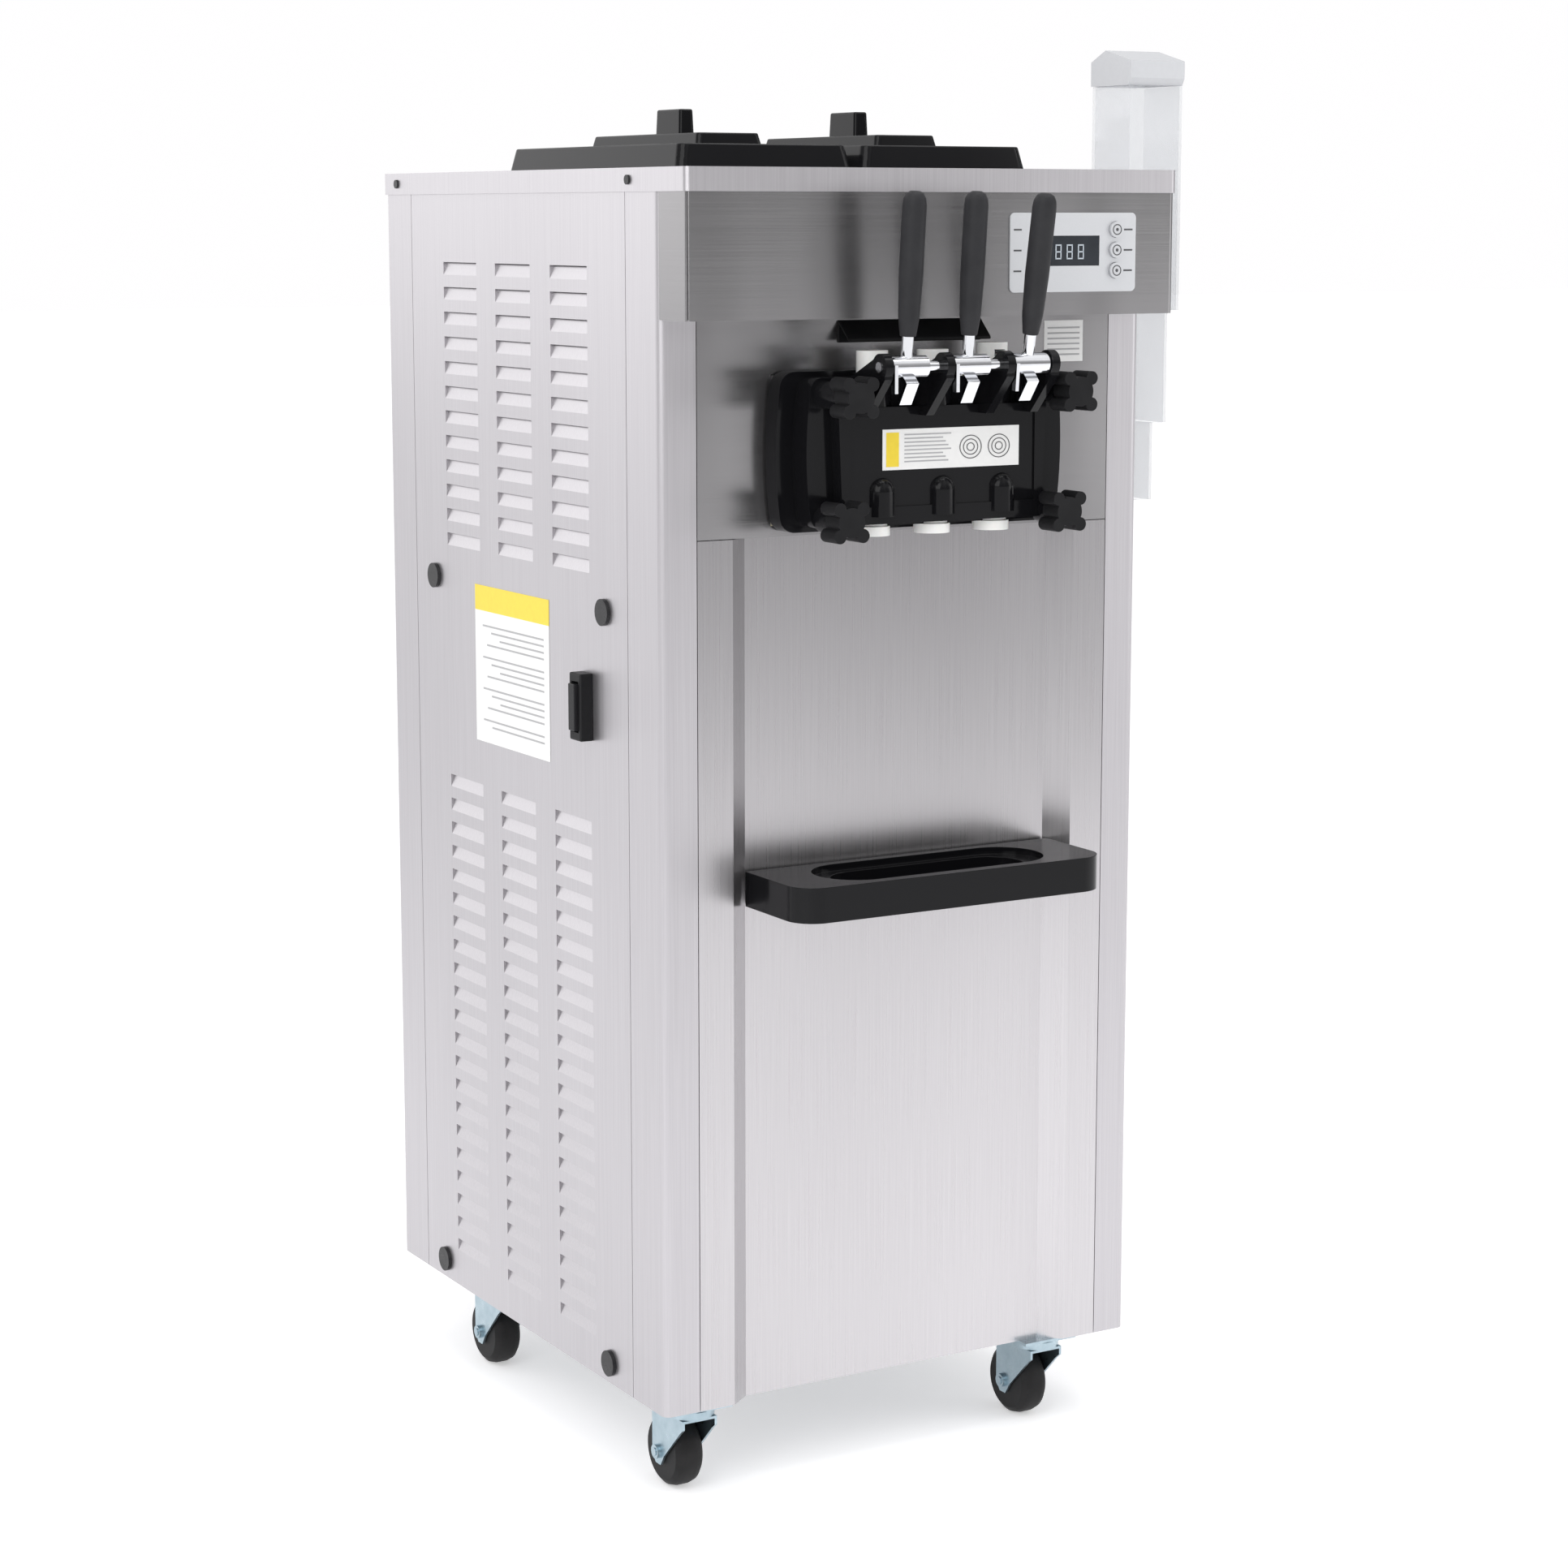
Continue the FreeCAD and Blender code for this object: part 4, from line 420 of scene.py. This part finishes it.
# ---------------------------------------------------------------- cone dispenser
# The tube is clear acrylic, nearly invisible face on and milky at its cut edges, with a few
# smears from handling.
material, tree, shader = new_finish("clear_acrylic")
place = tree.nodes.new("ShaderNodeTexCoord").outputs["Object"]
facing = tree.nodes.new("ShaderNodeLayerWeight")
facing.inputs["Blend"].default_value = 0.35
smear = grain(tree, place, 26, detail=4)
tree.links.new(span(tree, smear, 0.03, 0.16), shader.inputs["Roughness"])
tree.links.new(span(tree, facing.outputs["Facing"], 0.10, 0.75), shader.inputs["Alpha"])
shader.inputs["Base Color"].default_value = (0.74, 0.76, 0.79, 1)
shader.inputs["IOR"].default_value = 1.49
nodes["cone_tube"].data.materials.clear()
nodes["cone_tube"].data.materials.append(material)

# ---------------------------------------------------------------- control panel
# A silver anodised plate with three buttons of the same metal, and a dark glass window.
button_places = ("top", "middle", "bottom")
material, tree, shader = new_finish("anodised_plate")
place = tree.nodes.new("ShaderNodeTexCoord").outputs["Object"]
grit = grain(tree, place, 1600)
roughen(tree, shader, grit, 0.05, 0.0002)
tree.links.new(tones(tree, grit, (0.56, 0.57, 0.59), (0.66, 0.67, 0.69)),
               shader.inputs["Base Color"])
shader.inputs["Metallic"].default_value = 0.55
shader.inputs["Roughness"].default_value = 0.44
paint(["control_plate"] + ["button_" + where for where in button_places], material, part_crease)

material, tree, shader = new_finish("display_window")
place = tree.nodes.new("ShaderNodeTexCoord").outputs["Object"]
tree.links.new(tones(tree, grain(tree, place, 60), (0.018, 0.021, 0.026), (0.035, 0.040, 0.048)),
               shader.inputs["Base Color"])
shader.inputs["Roughness"].default_value = 0.12
nodes["display_board"].data.materials.clear()
nodes["display_board"].data.materials.append(material)


# ---------------------------------------------------------------- display digits
# Four plain seven-segment digits that glow faintly, laid just in front of the window: three
# level bars and four upright ones each, all of them lit.
def rectangle(shape, corner, first, second):
    """Add a flat face that starts at a corner and runs round by its two sides."""
    corner, first, second = Vector(corner), Vector(first), Vector(second)
    around = (corner, corner + first, corner + first + second, corner + second)
    shape.faces.new([shape.verts.new(spot) for spot in around])


print_gap = 0.0002
plate_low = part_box("control_plate")[0]
window_low, window_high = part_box("display_board")
digit_step, digit_wide, bar_thick, bar_tall = 0.013, 0.007, 0.0012, 0.0062
first_x, foot_z = window_low.x + 0.010, window_high.z - 0.036
shape = bmesh.new()
for digit in range(4):
    x = first_x + digit_step * digit
    for rise in (0, 0.0064, 0.0128):
        rectangle(shape, (x, plate_low.y - print_gap, foot_z + rise),
                  (digit_wide, 0, 0), (0, 0, bar_thick))
    for rise in (0.0006, 0.0070):
        for side in (0, digit_wide - bar_thick):
            rectangle(shape, (x + side, plate_low.y - print_gap, foot_z + rise),
                      (bar_thick, 0, 0), (0, 0, bar_tall))
mesh = bpy.data.meshes.new("display_digits")
shape.to_mesh(mesh)
shape.free()
material, tree, shader = new_finish("digit_glow")
place = tree.nodes.new("ShaderNodeTexCoord").outputs["Object"]
tree.links.new(span(tree, grain(tree, place, 300), 0.10, 0.30),
               shader.inputs["Emission Strength"])
shader.inputs["Base Color"].default_value = (0.42, 0.46, 0.50, 1)
shader.inputs["Emission Color"].default_value = (0.55, 0.62, 0.70, 1)
mesh.materials.append(material)
digits = bpy.data.objects.new("display_digits", mesh)
scene.collection.objects.link(digits)
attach(digits, "cabinet")


# ---------------------------------------------------------------- labels
# Generic only, printed on thin film: a white sheet with a yellow band and grey rules on the
# left side, a small plate with a yellow block and rules on the door, and a plain white sheet
# with rules on the panel right of the levers.
film_thickness = 0.00012


def lay_print(name, shape, paper, body):
    """Turn flat faces into a thin film that rides on a body."""
    mesh = bpy.data.meshes.new(name)
    shape.to_mesh(mesh)
    shape.free()
    mesh.materials.append(paper)
    piece = bpy.data.objects.new(name, mesh)
    scene.collection.objects.link(piece)
    film = piece.modifiers.new("film", "SOLIDIFY")
    film.thickness = film_thickness
    film.offset = -1
    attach(piece, body)


papers = {}
for name, first, second, rough in (
        ("label_white", (0.84, 0.84, 0.83), (0.78, 0.78, 0.77), 0.42),
        ("label_yellow", (0.86, 0.66, 0.04), (0.78, 0.58, 0.03), 0.42),
        ("label_grey", (0.34, 0.34, 0.35), (0.46, 0.46, 0.47), 0.50),
        ("label_dark", (0.05, 0.05, 0.055), (0.09, 0.09, 0.095), 0.45)):
    material, tree, shader = new_finish(name)
    place = tree.nodes.new("ShaderNodeTexCoord").outputs["Object"]
    fibre = grain(tree, place, 180, detail=4)
    tree.links.new(tones(tree, fibre, first, second), shader.inputs["Base Color"])
    shader.inputs["Roughness"].default_value = rough
    papers[name] = material

# where each label's lower corner lies, just clear of the metal or the moulding behind it
label_gap = 0.0003
door_face_depth = 0.057
side_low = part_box("side_panel_left")[0]
gasket_low, gasket_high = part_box("door_gaskets")
side_corner = Vector((side_low.x - label_gap, side_low.y + 0.168, side_low.z + 0.606))
door_corner = Vector(((gasket_low.x + gasket_high.x) / 2 - 0.067,
                      gasket_low.y - door_face_depth - label_gap,
                      (gasket_low.z + gasket_high.z) / 2 - 0.018))
panel_corner = Vector((door_corner.x + 0.222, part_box("middle_panel")[0].y - label_gap,
                       door_corner.z + 0.094))

# rules of uneven length, as lines of text are: start, height, length and thickness
side_rules = [(0.012, 0.120 - 0.0065 * row, 0.142 - 0.05 * ((row * 7) % 5) / 5, 0.0018)
              for row in range(17) if row % 5 != 4]
door_rules = [(0.024, 0.032 - 0.0036 * row, 0.052 - 0.012 * ((row * 3) % 4) / 4, 0.0013)
              for row in range(8)]
panel_rules = [(0.004, 0.006 + 0.0052 * row, 0.038, 0.0016) for row in range(6)]
for name, corner, lift, paper, patches in (
        ("side_label", side_corner, 0, "label_white", [(0, 0, 0.172, 0.136)]),
        ("side_label_band", side_corner, 0, "label_yellow", [(0, 0.136, 0.172, 0.026)]),
        ("door_label", door_corner, 0, "label_white", [(0, 0, 0.153, 0.038)]),
        ("door_label_block", door_corner, print_gap, "label_yellow",
         [(0.004, 0.003, 0.014, 0.032)]),
        ("panel_label", panel_corner, 0, "label_white", [(0, 0, 0.046, 0.040)]),
        ("panel_label_rules", panel_corner, print_gap, "label_grey", panel_rules),
        ("side_label_rules", side_corner, print_gap, "label_grey", side_rules),
        ("door_label_rules", door_corner, print_gap, "label_grey", door_rules)):
    shape = bmesh.new()
    for along, rise, wide, tall in patches:
        if corner is side_corner:
            rectangle(shape, corner + Vector((-lift, along, rise)), (0, 0, tall), (0, wide, 0))
        else:
            rectangle(shape, corner + Vector((along, -lift, rise)), (wide, 0, 0), (0, 0, tall))
    lay_print(name, shape, papers[paper], "cabinet")


# ---------------------------------------------------------------- fine marks
# Two ringed sketches on the door plate, and short rules on the control panel, three near its
# left edge and one beside each button, all in one dark ink.
def ring(shape, centre, outer, inner, segments, flat=1.0):
    """Add a flat ring that faces the front, or a disc where it has no inner radius."""
    verts = bmesh.ops.create_circle(shape, cap_ends=not inner, segments=segments,
                                    radius=outer)["verts"]
    if inner:
        rim = [edge for edge in shape.edges if edge.verts[0] in verts]
        grown = bmesh.ops.extrude_edge_only(shape, edges=rim)["geom"]
        inside = [item for item in grown if isinstance(item, bmesh.types.BMVert)]
        bmesh.ops.scale(shape, vec=Vector((inner / outer, inner / outer, 1)), verts=inside)
        verts = verts + inside
    bmesh.ops.scale(shape, vec=Vector((1, flat, 1)), verts=verts)
    bmesh.ops.rotate(shape, matrix=Matrix.Rotation(math.radians(90), 3, "X"), verts=verts)
    bmesh.ops.translate(shape, vec=Vector(centre), verts=verts)
    shape.normal_update()
    for face in shape.faces:
        if face.normal.y > 0:
            face.normal_flip()


shape = bmesh.new()
ring_wide = 0.0009
for along in (0.098, 0.130):
    centre = door_corner + Vector((along, -print_gap - film_thickness, 0.019))
    for outer in (0.0125, 0.0085, 0.0045):
        ring(shape, centre, outer, outer - ring_wide, segments=40, flat=0.9)
rule_tall, middle_rise, row_step = 0.0016, 0.0395, 0.0195
for row in (1, 0, -1):
    foot = plate_low.z + middle_rise + row_step * row - rule_tall / 2
    for start, wide in ((0.004, 0.009), (0.132, 0.010)):
        rectangle(shape, (plate_low.x + start, plate_low.y - print_gap, foot),
                  (wide, 0, 0), (0, 0, rule_tall))
lay_print("fine_marks", shape, papers["label_dark"], "cabinet")

# ---------------------------------------------------------------- button marks
# A ring and a dot printed on each button's face, which move with the button.
for where in button_places:
    low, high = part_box("button_" + where)
    centre = ((low.x + high.x) / 2, low.y - print_gap, (low.z + high.z) / 2)
    shape = bmesh.new()
    ring(shape, centre, 0.0052, 0.0042, segments=32)
    ring(shape, centre, 0.0016, 0, segments=32)
    lay_print("button_mark_" + where, shape, papers["label_dark"], "button_" + where)

# ---------------------------------------------------------------- sizes, then finish
low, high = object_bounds()
